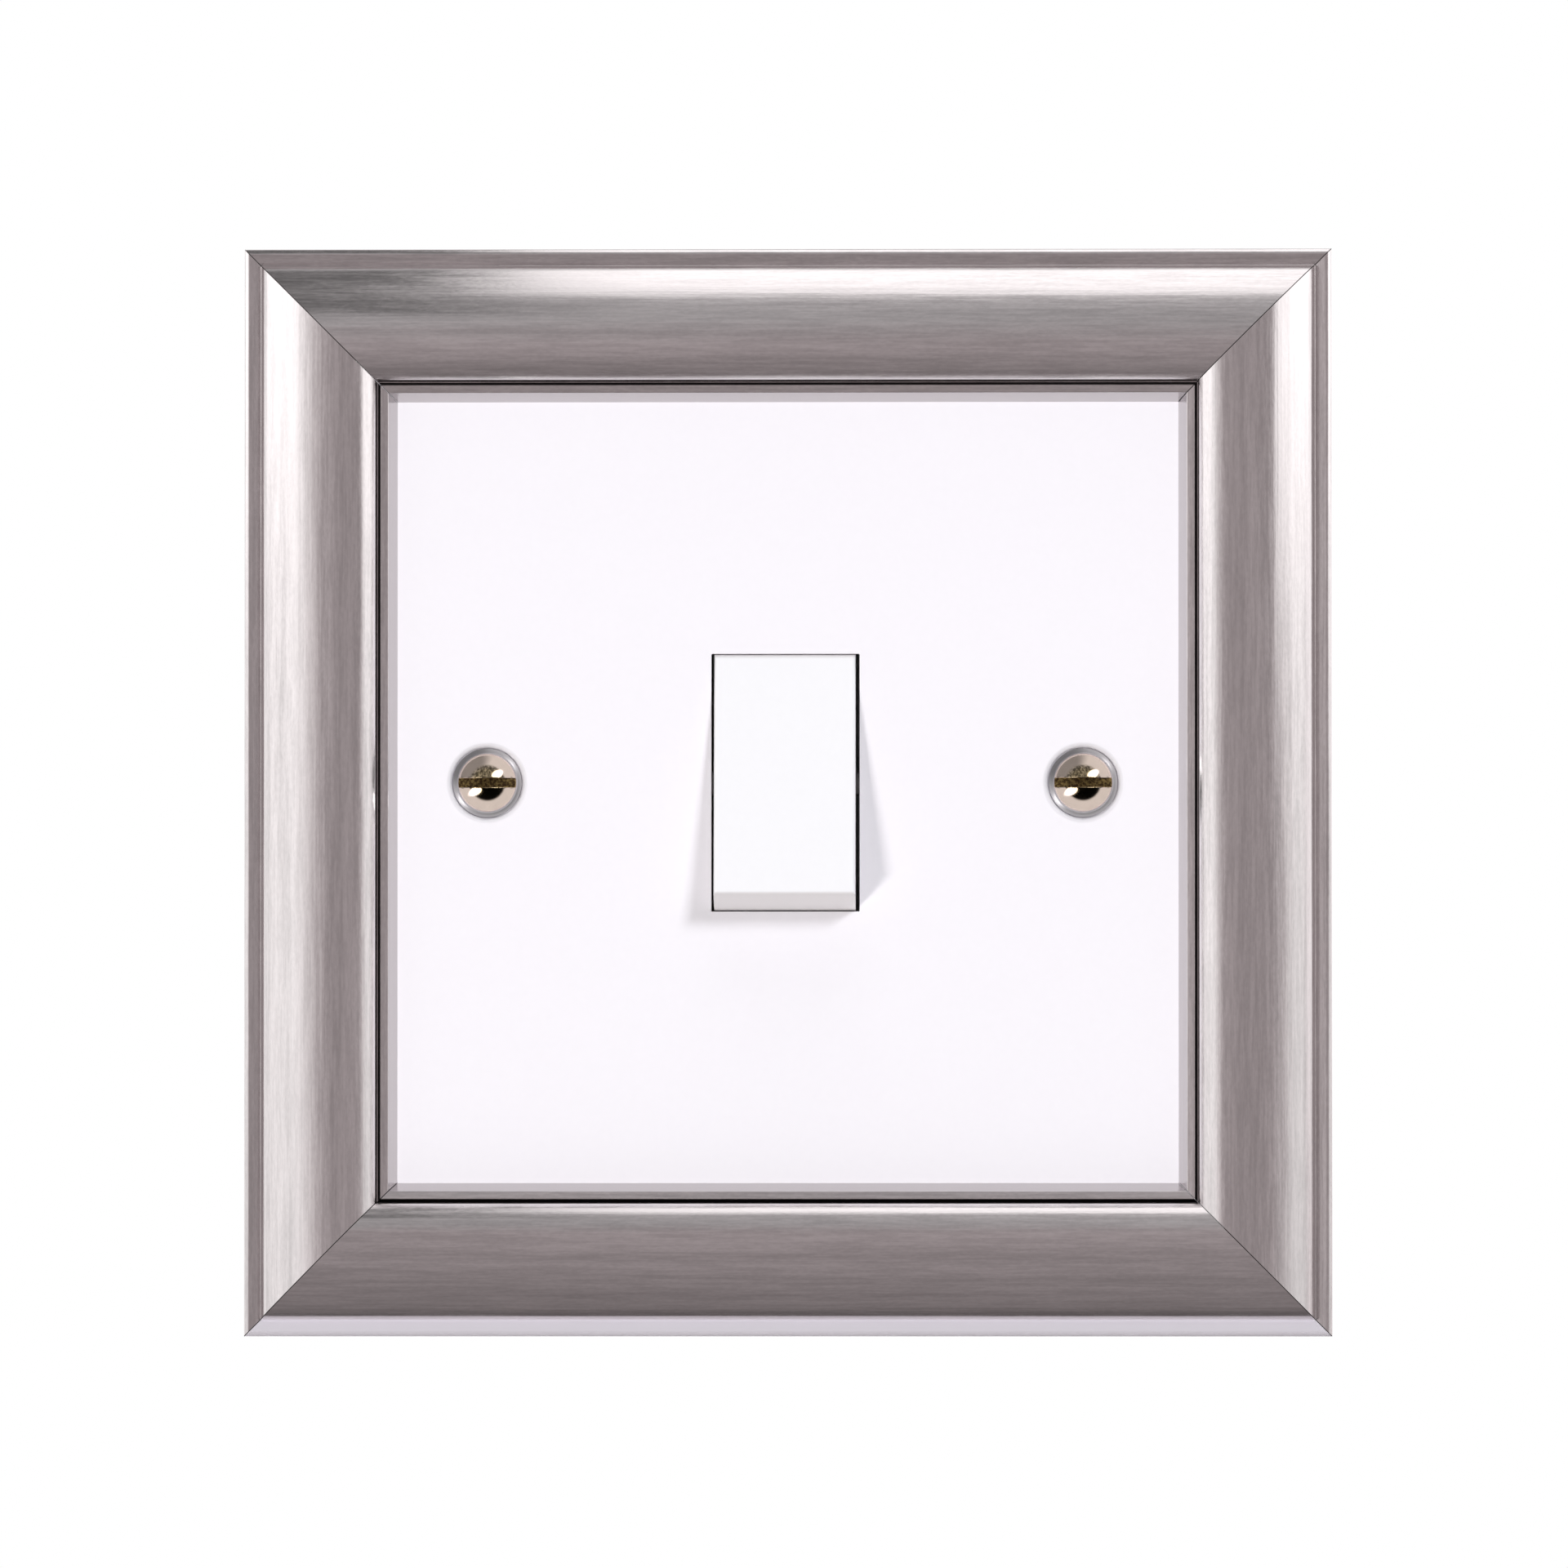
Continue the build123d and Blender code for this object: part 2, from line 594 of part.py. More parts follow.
def rail_section():
    """The moulding's section in (distance from outer edge, height above the wall)."""
    shoulder_r = (shoulder_offset - crown_offset) ** 2 + shoulder_drop ** 2
    shoulder_r = shoulder_r / (2 * shoulder_drop)
    crown_run = crown_offset - quirk_offset
    crown_r, join = flank_join(crown_height - quirk_height, crown_run, flank_r)
    crown_centre = (crown_offset, crown_height - crown_r)
    flank_centre = (quirk_offset + flank_r, quirk_height)
    shoulder_height = crown_height - shoulder_drop
    step_offset = shoulder_offset + step_run
    slip_offset = step_offset + slip_run
    step_height = shoulder_height - step_drop
    slip_height = step_height - slip_drop
    inner_r = shoulder_r - crown_wall
    nose_offset = shoulder_offset - nose_wall
    nose_dip = inner_r - sqrt(inner_r ** 2 - (nose_offset - crown_offset) ** 2)
    cavity_top = crown_height - crown_wall
    cavity_left = quirk_offset + crown_wall
    cavity_floor = lip_height + lip_wall
    neck_right = channel_inner - ledge_width
    lip_right = channel_inner - channel_lip
    lip_left = rail_wall + channel_lip
    outer = Polyline((0, rail_back), (0, side_height - side_edge_r))
    edge = RadiusArc((0, side_height - side_edge_r), (side_edge_r, side_height), side_edge_r)
    weather = Line((side_edge_r, side_height), (quirk_offset, quirk_height))
    flank = CenterArc(flank_centre, flank_r, 90 + join, 90 - join)
    crown = CenterArc(crown_centre, crown_r, 90, join)
    shoulder = RadiusArc((crown_offset, crown_height), (shoulder_offset, shoulder_height), shoulder_r)
    front = Polyline(
        (shoulder_offset, shoulder_height),
        (step_offset, step_height),
        (slip_offset, slip_height),
        (rail_width, lip_height + sight_height),
        (rail_width, lip_height),
        (heel_width, lip_height),
        (heel_width, rail_back),
        (lip_right, rail_back),
        (lip_right, channel_floor),
        (channel_inner, channel_floor),
        (channel_inner, channel_roof),
        (neck_right, channel_roof),
        (neck_right, cavity_floor),
        (nose_offset, cavity_floor),
        (nose_offset, cavity_top - nose_dip),
    )
    nose = RadiusArc((nose_offset, cavity_top - nose_dip), (crown_offset, cavity_top), -inner_r)
    vault = CenterArc(crown_centre, crown_r - crown_wall, 90, join)
    haunch = CenterArc(flank_centre, flank_r - crown_wall, 90 + join, 90 - join)
    back = Polyline(
        (cavity_left, quirk_height),
        (cavity_left, channel_roof),
        (rail_wall, channel_roof),
        (rail_wall, channel_floor),
        (lip_left, channel_floor),
        (lip_left, rail_back),
        (0, rail_back),
    )
    section = [outer, edge, weather, flank, crown, shoulder, front, nose, vault, haunch, back]
    return make_face(section)


def surround_rail():
    """The bottom length of moulding, mitred at both ends, about the surround's centre."""
    start = Plane(origin=(-surround_half, 0, -surround_half), x_dir=(0, 0, 1), z_dir=(1, 0, 0))
    rail = extrude(start * rail_section(), 2 * surround_half)
    trim = mitre_gap / 2 * sqrt(2)
    for side in (-1, 1):
        corner = (side * (surround_half - trim), 0, -surround_half)
        mitre = Plane(origin=corner, x_dir=(0, 1, 0), z_dir=(-side, 0, -1))
        rail = split(rail, bisect_by=mitre, keep=Keep.TOP)
    return rail


def corner_plate(leg, low, high):
    """An L-shaped plate in the channels of the bottom-left corner."""
    outer = -surround_half + rail_wall + angle_side_gap
    inner = -surround_half + channel_inner - angle_side_gap
    end = -surround_half + leg
    plate = block((outer, inner), (-high, -low), (outer, end))
    return plate + block((outer, end), (-high, -low), (outer, inner))


def corner_screw_points():
    """Centres of the two screws of the bottom-left corner."""
    middle = -surround_half + (rail_wall + channel_inner) / 2
    along = -surround_half + angle_leg - corner_screw_inset
    return [(middle, along), (along, middle)]


def corner_set():
    """Angle, shim and screws of the bottom-left corner."""
    angle_low = channel_floor + angle_lip_gap
    angle_high = angle_low + angle_thickness
    shim_high = channel_roof - angle_lip_gap
    shim_low = shim_high - shim_thickness
    angle = corner_plate(angle_leg, angle_low, angle_high)
    shim = corner_plate(shim_leg, shim_low, shim_high)
    screws = []
    for x, z in corner_screw_points():
        hole_r = corner_screw_r + corner_screw_gap
        angle -= rod(hole_r, (x, -angle_low, z), (0, -1, 0), angle_thickness)
        screw = rod(corner_screw_r, (x, -angle_low, z), (0, -1, 0), shim_low - angle_low)
        slot_x = (x - corner_screw_r, x + corner_screw_r)
        slot_y = (-angle_low - corner_slot_depth, -angle_low)
        slot_z = (z - corner_slot_width / 2, z + corner_slot_width / 2)
        screws.append(screw - block(slot_x, slot_y, slot_z))
    return angle, shim, Compound(screws)


def foam_strip(length):
    """A foam strip behind the bottom rail."""
    low = -surround_half + foam_inset
    return block((-length / 2, length / 2), (-foam_thickness, 0), (low, low + foam_width))


def surround_nodes():
    """All pieces of the surround, placed on the plate."""
    place = Pos(surround_shift_x, 0, surround_shift_z)
    rail = surround_rail()
    angle, shim, screws = corner_set()
    long_foam = 2 * (surround_half - foam_inset)
    short_foam = long_foam - 2 * (foam_width + foam_end_gap)
    sides = {"bottom": 0, "left": 90, "top": 180, "right": 270}
    corners = {"bottom_left": 0, "top_left": 90, "top_right": 180, "bottom_right": 270}
    nodes = {}
    for side, turn in sides.items():
        foam = foam_strip(long_foam if side in ("top", "bottom") else short_foam)
        nodes["frame_rail_" + side] = place * Rot(0, turn, 0) * rail
        nodes["foam_strip_" + side] = place * Rot(0, turn, 0) * foam
    for corner, turn in corners.items():
        nodes["corner_angle_" + corner] = place * Rot(0, turn, 0) * angle
        nodes["corner_shim_" + corner] = place * Rot(0, turn, 0) * shim
        nodes["corner_screws_" + corner] = place * Rot(0, turn, 0) * screws
    return nodes


def switch_nodes():
    """All pieces of the switch."""
    nodes = {
        "switch_plate": switch_plate(),
        "fixing_screw_left": fixing_screw(-fixing_spacing / 2),
        "fixing_screw_right": fixing_screw(fixing_spacing / 2),
        "rocker": rocker(),
        "plunger": plunger(),
        "plunger_spring": plunger_spring(),
        "rocker_carrier": rocker_carrier(),
        "switch_base": switch_base(),
        "module_screw_upper": module_screw(1),
        "module_screw_lower": module_screw(-1),
        "moving_contact": moving_contact(),
        "moving_tip_upper": moving_tip(1),
        "moving_tip_lower": moving_tip(-1),
        "fixed_tip_l1": fixed_tip(1),
        "fixed_tip_l2": fixed_tip(-1),
    }
    for name in strip_outlines():
        nodes[name] = strip(name)
    for name, (x, z) in terminal_places().items():
        nodes["terminal_" + name] = terminal(x, z)
        nodes["terminal_screw_" + name] = terminal_screw(x, z)
    return nodes


os.makedirs("parts", exist_ok=True)
for node, shape in {**surround_nodes(), **switch_nodes()}.items():
    export_step(shape, "parts/" + node + ".step")
pivot_axis = (round(pivot_y, 4), round(knife_y, 4))
print("trunnion and knife depths", pivot_axis, "rocker radius", round(rocker_r, 4))
print("rocker face", round(face_reach, 4), "face half angle", round(degrees(face_angle), 3))
print("wire bore depth", round(wire_y, 4), "terminal back", round(terminal_back_y, 4))
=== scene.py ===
"""A one-gang rocker light switch in a mitred metal surround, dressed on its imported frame."""
import json
import logging
import math
from collections.abc import Callable
from dataclasses import dataclass, field
from enum import Enum
from typing import ClassVar

import bmesh
import bpy
from mathutils import Matrix, Vector


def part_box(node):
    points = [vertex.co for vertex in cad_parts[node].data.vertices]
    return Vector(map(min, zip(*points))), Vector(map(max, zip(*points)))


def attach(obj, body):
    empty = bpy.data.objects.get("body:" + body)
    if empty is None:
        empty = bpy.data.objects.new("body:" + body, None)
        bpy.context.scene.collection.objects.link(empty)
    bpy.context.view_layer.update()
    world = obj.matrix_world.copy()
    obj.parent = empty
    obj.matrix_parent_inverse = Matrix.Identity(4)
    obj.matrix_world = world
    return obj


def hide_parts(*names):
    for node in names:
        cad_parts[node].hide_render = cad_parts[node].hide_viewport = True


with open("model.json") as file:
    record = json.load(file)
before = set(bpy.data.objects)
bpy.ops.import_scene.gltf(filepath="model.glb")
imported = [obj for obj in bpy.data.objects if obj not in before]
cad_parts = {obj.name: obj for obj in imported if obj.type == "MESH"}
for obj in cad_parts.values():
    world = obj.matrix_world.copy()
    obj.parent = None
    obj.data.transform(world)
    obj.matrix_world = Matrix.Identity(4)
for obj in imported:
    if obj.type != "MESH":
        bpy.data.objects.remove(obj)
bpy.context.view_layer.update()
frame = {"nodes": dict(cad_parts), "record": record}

log = logging.getLogger("switch_plate")

MM = 0.001
UP = Vector((0, 0, 1))
ALONG_X = Vector((1, 0, 0))
ALONG_Y = Vector((0, 1, 0))

Number = float | int
Colour = tuple[float, float, float]
Element = bmesh.types.BMEdge | bmesh.types.BMFace


def operator(operation: str, reflected: bool = False) -> "Callable[[Signal, Signal | Number], Signal]":
    """Write the method behind one of a signal's operators.

    Args:
        operation: The Math node's operation.
        reflected: Whether the signal stands on the operator's right.

    Returns:
        The method.
    """
    def method(self: "Signal", other: "Signal | Number") -> "Signal":
        """Put this signal and another signal or number through one Math node."""
        return self.apply(operation, other, self) if reflected else self.apply(operation, self, other)

    return method


class Signal:
    """An output socket that takes part in arithmetic; each operation adds a Math node."""

    def __init__(self, graph: "Graph", socket: bpy.types.NodeSocket) -> None:
        """Keep the socket with the graph that it belongs to."""
        self.graph = graph
        self.socket = socket

    def apply(self, operation: str, *values: "Signal | Number") -> "Signal":
        """Add one Math node.

        Args:
            operation: The Math node's operation.
            values: Its inputs in order, as signals or numbers.

        Returns:
            The node's result.
        """
        return self.graph.add("ShaderNodeMath", {"operation": operation}, dict(enumerate(values)))

    __add__ = operator("ADD")
    __radd__ = operator("ADD", reflected=True)
    __sub__ = operator("SUBTRACT")
    __rsub__ = operator("SUBTRACT", reflected=True)
    __mul__ = operator("MULTIPLY")
    __rmul__ = operator("MULTIPLY", reflected=True)
    __truediv__ = operator("DIVIDE")
    larger = operator("MAXIMUM")
    angle_from = operator("ARCTAN2")

    def __abs__(self) -> "Signal":
        """Size without sign."""
        return self.apply("ABSOLUTE", self)

    def reach(self, other: "Signal") -> "Signal":
        """Length of the line whose two sides are this signal and the other."""
        return self.apply("SQRT", self * self + other * other)

    def step(self, low: float, high: float) -> "Signal":
        """A soft step from 0 to 1.

        Args:
            low: Value at which the step leaves one end.
            high: Value at which it reaches the other; below low the step falls.

        Returns:
            The step.
        """
        falling = high < low
        ends = {1: min(low, high), 2: max(low, high), 3: 0.0, 4: 1.0}
        settings = {"interpolation_type": "SMOOTHSTEP"}
        rise = self.graph.add("ShaderNodeMapRange", settings, {0: self, **ends})
        return 1 - rise if falling else rise


class Graph:
    """The node tree of one material or world."""

    def __init__(self, tree: bpy.types.NodeTree) -> None:
        """Start from an empty tree."""
        self.tree = tree
        tree.nodes.clear()

    def node(self, kind: str, settings: dict, inputs: dict) -> bpy.types.Node:
        """Add a node of any type.

        Args:
            kind: The node's type name.
            settings: Properties to set first, such as a Math node's operation.
            inputs: Socket name or index to a signal, a socket or a value.

        Returns:
            The node.
        """
        made = self.tree.nodes.new(kind)
        for name, value in settings.items():
            setattr(made, name, value)
        for name, value in inputs.items():
            socket = made.inputs[name]
            if isinstance(value, Signal):
                self.tree.links.new(value.socket, socket)
            elif isinstance(value, bpy.types.NodeSocket):
                self.tree.links.new(value, socket)
            else:
                socket.default_value = value
        return made

    def add(self, kind: str, settings: dict, inputs: dict, output: str | int = 0) -> Signal:
        """Add a node and give back one of its outputs as a signal."""
        return Signal(self, self.node(kind, settings, inputs).outputs[output])

    def place(self) -> Signal:
        """The point's place in the part's frame, as a vector."""
        return self.add("ShaderNodeTexCoord", {}, {}, "Object")

    def noise(self, scale: Vector | float, detail: float = 2.0, rough: float = 0.5) -> Signal:
        """Noise about 0.5.

        Args:
            scale: Features per metre, along each axis or along all.
            detail: Number of finer layers.
            rough: Strength of each finer layer.

        Returns:
            The noise, between 0 and 1.
        """
        each = scale if isinstance(scale, Vector) else Vector((scale, scale, scale))
        mapped = self.add("ShaderNodeMapping", {}, {"Vector": self.place(), "Scale": each})
        inputs = {"Vector": mapped, "Scale": 1.0, "Detail": detail, "Roughness": rough}
        return self.add("ShaderNodeTexNoise", {}, inputs)

    def cells(self, per_metre: float) -> Signal:
        """Distance to the nearest cell centre, for sponge and crystal patterns."""
        inputs = {"Vector": self.place(), "Scale": per_metre}
        return self.add("ShaderNodeTexVoronoi", {}, inputs, "Distance")

    def axes(self) -> tuple[Signal, Signal, Signal]:
        """The point's place in the part's frame, as three numbers."""
        split = self.node("ShaderNodeSeparateXYZ", {}, {0: self.place()})
        return tuple(Signal(self, output) for output in split.outputs)

    def blend(self, factor: Signal, low: "Signal | Colour", high: "Signal | Colour") -> Signal:
        """A colour between two, by a factor from 0 to 1.

        Args:
            factor: How far it lies from low to high.
            low: The colour at 0.
            high: The colour at 1.

        Returns:
            The colour.
        """
        ends = [end if isinstance(end, Signal) else (*end, 1.0) for end in (low, high)]
        inputs = {0: factor, 6: ends[0], 7: ends[1]}
        return self.add("ShaderNodeMix", {"data_type": "RGBA"}, inputs, 2)

    def bump(self, height: Signal, strength: float = 1.0) -> Signal:
        """A normal from a height in metres."""
        inputs = {"Height": height, "Distance": 1.0, "Strength": strength}
        return self.add("ShaderNodeBump", {}, inputs)

    def surface(self, inputs: dict) -> None:
        """End the graph in one Principled surface with these inputs."""
        shader = self.add("ShaderNodeBsdfPrincipled", {}, inputs)
        self.node("ShaderNodeOutputMaterial", {}, {"Surface": shader})


def painted(name: str, paint: Callable[[Graph], None]) -> bpy.types.Material:
    """Make a material whose nodes a function builds.

    Args:
        name: The material's name.
        paint: Builds the nodes in an empty graph.

    Returns:
        The material.
    """
    made = bpy.data.materials.new(name)
    made.use_nodes = True
    paint(Graph(made.node_tree))
    return made


class Grain(Enum):
    """The direction that a metal was drawn or brushed in."""

    LEVEL = Vector((1, 0, 0))
    UPRIGHT = Vector((0, 0, 1))

    def scale(self, along: float, across: float) -> Vector:
        """Features per metre as a vector, fewer along the grain than across it."""
        return Vector([along if part else across for part in self.value])


@dataclass(frozen=True)
class Finish:
    """A finish of one material slot."""

    name: str
    colour: Colour
    roughness: float

    def material(self) -> bpy.types.Material:
        """Make the finish's material."""
        return painted(self.name, self.paint)

    def paint(self, graph: Graph) -> None:
        """Build the nodes; each kind of finish has its own."""
        raise NotImplementedError

    def shade(self, by: float) -> Colour:
        """The finish's colour made darker or lighter."""
        return tuple(min(part * by, 1.0) for part in self.colour)


@dataclass(frozen=True)
class DrawnMetal(Finish):
    """Extruded metal, polished along its length, with fine lines and long soft waves, painted shade in
    its groove and on the slope down to the plate, a painted pale reflection on the bottom length's
    lowest edge, and dark mitre joints.
    """

    grain: Grain = Grain.LEVEL
    centre: Vector = field(default_factory=Vector)
    half: float = 55.0 * MM
    groove: tuple[float, float] = (13.62 * MM, 13.8 * MM)
    lower_groove: tuple[float, float] = (13.44 * MM, 13.96 * MM)
    groove_mouth: float = -9.85 * MM
    lower_edge: tuple[float, float] = (-0.1 * MM, 1.72 * MM)
    slope: tuple[float, float] = (14.66 * MM, 16.0 * MM)
    mitre_half: float = 0.075 * MM
    groove_shade_and_joint_colour: Colour = (0.04, 0.035, 0.035)
    painted_reflection_colour: Colour = (0.8, 0.765, 0.825)
    soft: float = 0.04 * MM
    wave_scale: tuple[float, float] = (9, 190)
    wave_height: float = 0.07 * MM
    streak_scale: tuple[float, float] = (12, 700)
    streak_height: float = 0.032 * MM
    line_scale: tuple[float, float] = (160, 2600)
    line_height: float = 0.0017 * MM
    speck_scale: tuple[float, float] = (1500, 4200)
    speck_height: float = 0.0035 * MM

    def band(self, offset: Signal, ends: tuple[float, float]) -> Signal:
        """A band along the length between two distances from the outer edge, from 0 to 1."""
        low, high = ends
        return offset.step(low - self.soft, low) * offset.step(high + self.soft, high)

    def marks(self, graph: Graph) -> tuple[Signal, Signal, Signal]:
        """Masks from 0 to 1 for what lies at fixed distances from the surround's outer edge.

        Args:
            graph: The material's nodes.

        Returns:
            The groove's painted shade with the dark mitre joints, the slope's painted shade down to the
            plate, and the painted pale reflection on the lowest edge.
        """
        x, y, z = graph.axes()
        x, z = x - self.centre.x, z - self.centre.z
        upright = self.grain is Grain.UPRIGHT
        offset = self.half - abs(x if upright else z)
        # Only the bottom length gets the painted pale reflection on its lowest edge.
        below = z.step(0.0, -MM) * (0.0 if upright else 1.0)
        # Painted shade: the groove's floor is coloured near-black where shade falls in it.
        groove = self.band(offset, self.groove) * (1 - below)
        groove = groove + self.band(offset, self.lower_groove) * below
        groove = groove * y.step(self.groove_mouth - self.soft, self.groove_mouth)
        mitre = abs(abs(x) - abs(z)).step(self.mitre_half, self.mitre_half * 0.6)
        dark = groove.larger(mitre)
        return dark, self.band(offset, self.slope), self.band(offset, self.lower_edge) * below

    def paint(self, graph: Graph) -> None:
        """Long waves bend the reflections, fine lines and specks break them up; painted shade darkens
        the groove and the slope, and a painted pale reflection lightens the lowest edge.

        Args:
            graph: The material's nodes.
        """
        waves = graph.noise(self.grain.scale(*self.wave_scale), 2.0, 0.55)
        streaks = graph.noise(self.grain.scale(*self.streak_scale), 3.0, 0.6)
        lines = graph.noise(self.grain.scale(*self.line_scale), 3.0, 0.6)
        specks = graph.noise(self.grain.scale(*self.speck_scale), 2.0)
        tone = streaks.step(0.36, 0.64) * 0.4 + lines.step(0.36, 0.64) * 0.4
        tone = tone + specks.step(0.34, 0.66) * 0.2
        height = waves * self.wave_height + streaks * self.streak_height
        height = height + lines * self.line_height + specks * self.speck_height
        dark, slope, pale = self.marks(graph)
        metal = graph.blend(tone, self.shade(0.84), self.shade(1.13))
        # Painted shade: the slope down to the plate is coloured darker than the rest of the moulding.
        metal = graph.blend(slope, metal, self.shade(0.72))
        # Painted reflection: the lowest edge is coloured pale and made less metallic, standing in for
        # light it mirrors.
        metal = graph.blend(pale, metal, self.painted_reflection_colour)
        graph.surface({
            # Painted shade in the groove, together with the dark mitre joint lines.
            "Base Color": graph.blend(dark, metal, self.groove_shade_and_joint_colour),
            "Metallic": 1.0 - pale * 0.6,
            "Roughness": self.roughness + (tone - 0.5) * 0.1 + dark * 0.3,
            "Normal": graph.bump(height),
        })


@dataclass(frozen=True)
class Moulding(Finish):
    """Moulded plastic with a faint skin texture and a little unevenness in its gloss."""

    skin_scale: float = 1400.0
    skin_height: float = 0.0015 * MM
    patch_scale: float = 45.0
    coat: float = 0.0

    def tint(self, graph: Graph, skin: Signal) -> Signal:
        """The skin's colour, a little lighter and darker from grain to grain."""
        return graph.blend(skin, self.shade(0.99), self.shade(1.01))

    def paint(self, graph: Graph) -> None:
        """Fine skin on a broad, faint unevenness.

        Args:
            graph: The material's nodes.
        """
        skin = graph.noise(self.skin_scale)
        patches = graph.noise(self.patch_scale, 1.0)
        graph.surface({
            "Base Color": self.tint(graph, skin),
            "Roughness": self.roughness + (patches - 0.5) * 0.04,
            "Coat Weight": self.coat,
            "Coat Roughness": 0.1,
            "Normal": graph.bump(skin * self.skin_height),
        })


@dataclass(frozen=True)
class WindowedMoulding(Moulding):
    """Moulded plastic, with painted shade on the wall of its aperture and a faint painted shade round
    its screws.
    """

    half_x: float = 7.55 * MM
    wall_top: float = 12.9 * MM
    wall_bottom: float = -13.3 * MM
    mouth: float = -6.98 * MM
    gap_painted_shade_colour: Colour = (0.03, 0.022, 0.02)
    screw_x: float = 30.15 * MM
    ring_r: float = 4.15 * MM
    ring_edge: float = 0.2 * MM
    soft: float = 0.05 * MM

    def tint(self, graph: Graph, skin: Signal) -> Signal:
        """The skin's colour with painted shade on the aperture's wall and round the screws' recesses.

        Args:
            graph: The material's nodes.
            skin: The skin's pattern, from 0 to 1.

        Returns:
            The colour.
        """
        x, y, z = graph.axes()
        # Painted shade: the aperture's wall is coloured near-black, where the gap beside the rocker
        # lies in shade.
        wall = abs(x).step(self.half_x + self.soft, self.half_x)
        wall = wall * y.step(self.mouth, self.mouth + self.soft)
        wall = wall * z.step(self.wall_bottom - self.soft, self.wall_bottom)
        wall = wall * z.step(self.wall_top + self.soft, self.wall_top)
        # Painted shade: a faint darker ring round each screw's recess.
        recess_painted_shade = (abs(x) - self.screw_x).reach(z).step(self.ring_r, self.ring_r - self.ring_edge)
        face = graph.blend(recess_painted_shade, super().tint(graph, skin), self.shade(0.88))
        return graph.blend(wall, face, self.gap_painted_shade_colour)


@dataclass(frozen=True)
class RockerMoulding(Moulding):
    """Moulded plastic, with painted shade making the rocker's sides and ends darker than its face."""

    half_x: float = 7.1 * MM
    end_r: float = 12.98 * MM
    pivot: float = -3.6 * MM
    side_edge: float = 0.1 * MM
    end_edge: float = 0.3 * MM
    painted_side_shade: Colour = (0.72, 0.69, 0.7)

    def tint(self, graph: Graph, skin: Signal) -> Signal:
        """The skin's colour with painted shade on the sides and ends.

        Args:
            graph: The material's nodes.
            skin: The skin's pattern, from 0 to 1.

        Returns:
            The colour.
        """
        x, y, z = graph.axes()
        side = abs(x).step(self.half_x + self.side_edge, self.half_x)
        face = side * (y - self.pivot).reach(z).step(self.end_r + self.end_edge, self.end_r)
        # Painted shade: the sides and ends are coloured darker than the face.
        return graph.blend(face, self.painted_side_shade, super().tint(graph, skin))


@dataclass(frozen=True)
class PlatedMetal(Finish):
    """Metal plating or turned metal, with stains and fine scuffs."""

    stain: Colour = (0.5, 0.5, 0.5)
    cloud_scale: float = 320.0
    scuff_scale: float = 5200.0
    scuff_height: float = 0.0012 * MM

    def paint(self, graph: Graph) -> None:
        """Clouded colour with fine scuffs.

        Args:
            graph: The material's nodes.
        """
        clouds = graph.noise(self.cloud_scale, 3.0, 0.6)
        scuffs = graph.noise(self.scuff_scale)
        graph.surface({
            "Base Color": graph.blend(clouds.step(0.42, 0.78), self.colour, self.stain),
            "Metallic": 1.0,
            "Roughness": self.roughness + (clouds - 0.5) * 0.14,
            "Normal": graph.bump(scuffs * self.scuff_height),
        })


@dataclass(frozen=True)
class ScrewPlating(Finish):
    """Polished warm nickel on a screw's dome, worn to brass down in its slot, with painted shade in the
    slot and a painted gold reflection tint in the dome's middle.
    """

    slot_colour: Colour = (0.4, 0.28, 0.11)
    slot_painted_shade: Colour = (0.1, 0.06, 0.03)
    rim_colour: Colour = (0.6, 0.58, 0.6)
    reflection_tint_colour: Colour = (0.86, 0.68, 0.42)
    reflection_tint_r: float = 2.0 * MM
    spread: float = 30.15 * MM
    slot_half: float = 0.475 * MM
    crown: float = -7.8 * MM
    slot_floor: float = -6.735 * MM
    rim: float = -6.55 * MM
    sink: tuple[float, float] = (0.25 * MM, 0.4 * MM)
    soft: float = 0.05 * MM
    scuff_scale: float = 4200.0
    scuff_height: float = 0.0006 * MM
    cloud_scale: float = 900.0
    grit_scale: float = 3000.0

    def paint(self, graph: Graph) -> None:
        """The slot is a level band across the dome, and the rim lies behind the dome.

        Args:
            graph: The material's nodes.
        """
        scuffs = graph.noise(self.scuff_scale)
        clouds = graph.noise(self.cloud_scale)
        x, y, z = graph.axes()
        within = abs(z).step(self.slot_half * 1.03, self.slot_half * 0.98)
        sunk = y.step(*(self.crown + depth for depth in self.sink))
        ahead = y.step(self.rim - self.soft, self.slot_floor + self.soft)
        slot = within * sunk * ahead
        grit = graph.noise(self.grit_scale, 3.0, 0.7).step(0.42, 0.62)
        polished = graph.blend(clouds, self.shade(0.93), self.shade(1.05))
        # Painted reflection: a gold tint in the dome's middle, which the reflections there take on.
        reflection_tint = (abs(x) - self.spread).reach(z).step(self.reflection_tint_r, self.reflection_tint_r * 0.6)
        polished = graph.blend(reflection_tint, polished, self.reflection_tint_colour)
        dome = graph.blend(1 - ahead, polished, self.rim_colour)
        # Brass wear in the slot, mixed by grit with painted shade.
        slot_wear_and_shade = graph.blend(grit, self.slot_painted_shade, self.slot_colour)
        graph.surface({
            "Base Color": graph.blend(slot, dome, slot_wear_and_shade),
            "Metallic": 1.0,
            "Roughness": self.roughness + slot * 0.25 + (1 - ahead) * 0.2 + (clouds - 0.5) * 0.06,
            "Normal": graph.bump(scuffs * self.scuff_height),
        })


@dataclass(frozen=True)
class Foam(Finish):
    """Closed-cell foam."""

    cell: float = 0.5 * MM

    def paint(self, graph: Graph) -> None:
        """Round cells, darker in their middles.

        Args:
            graph: The material's nodes.
        """
        cells = graph.cells(1 / self.cell)
        graph.surface({
            "Base Color": graph.blend(cells.step(0.1, 0.6), self.shade(0.82), self.colour),
            "Roughness": self.roughness,
            "Normal": graph.bump(cells * (self.cell * 0.25)),
        })


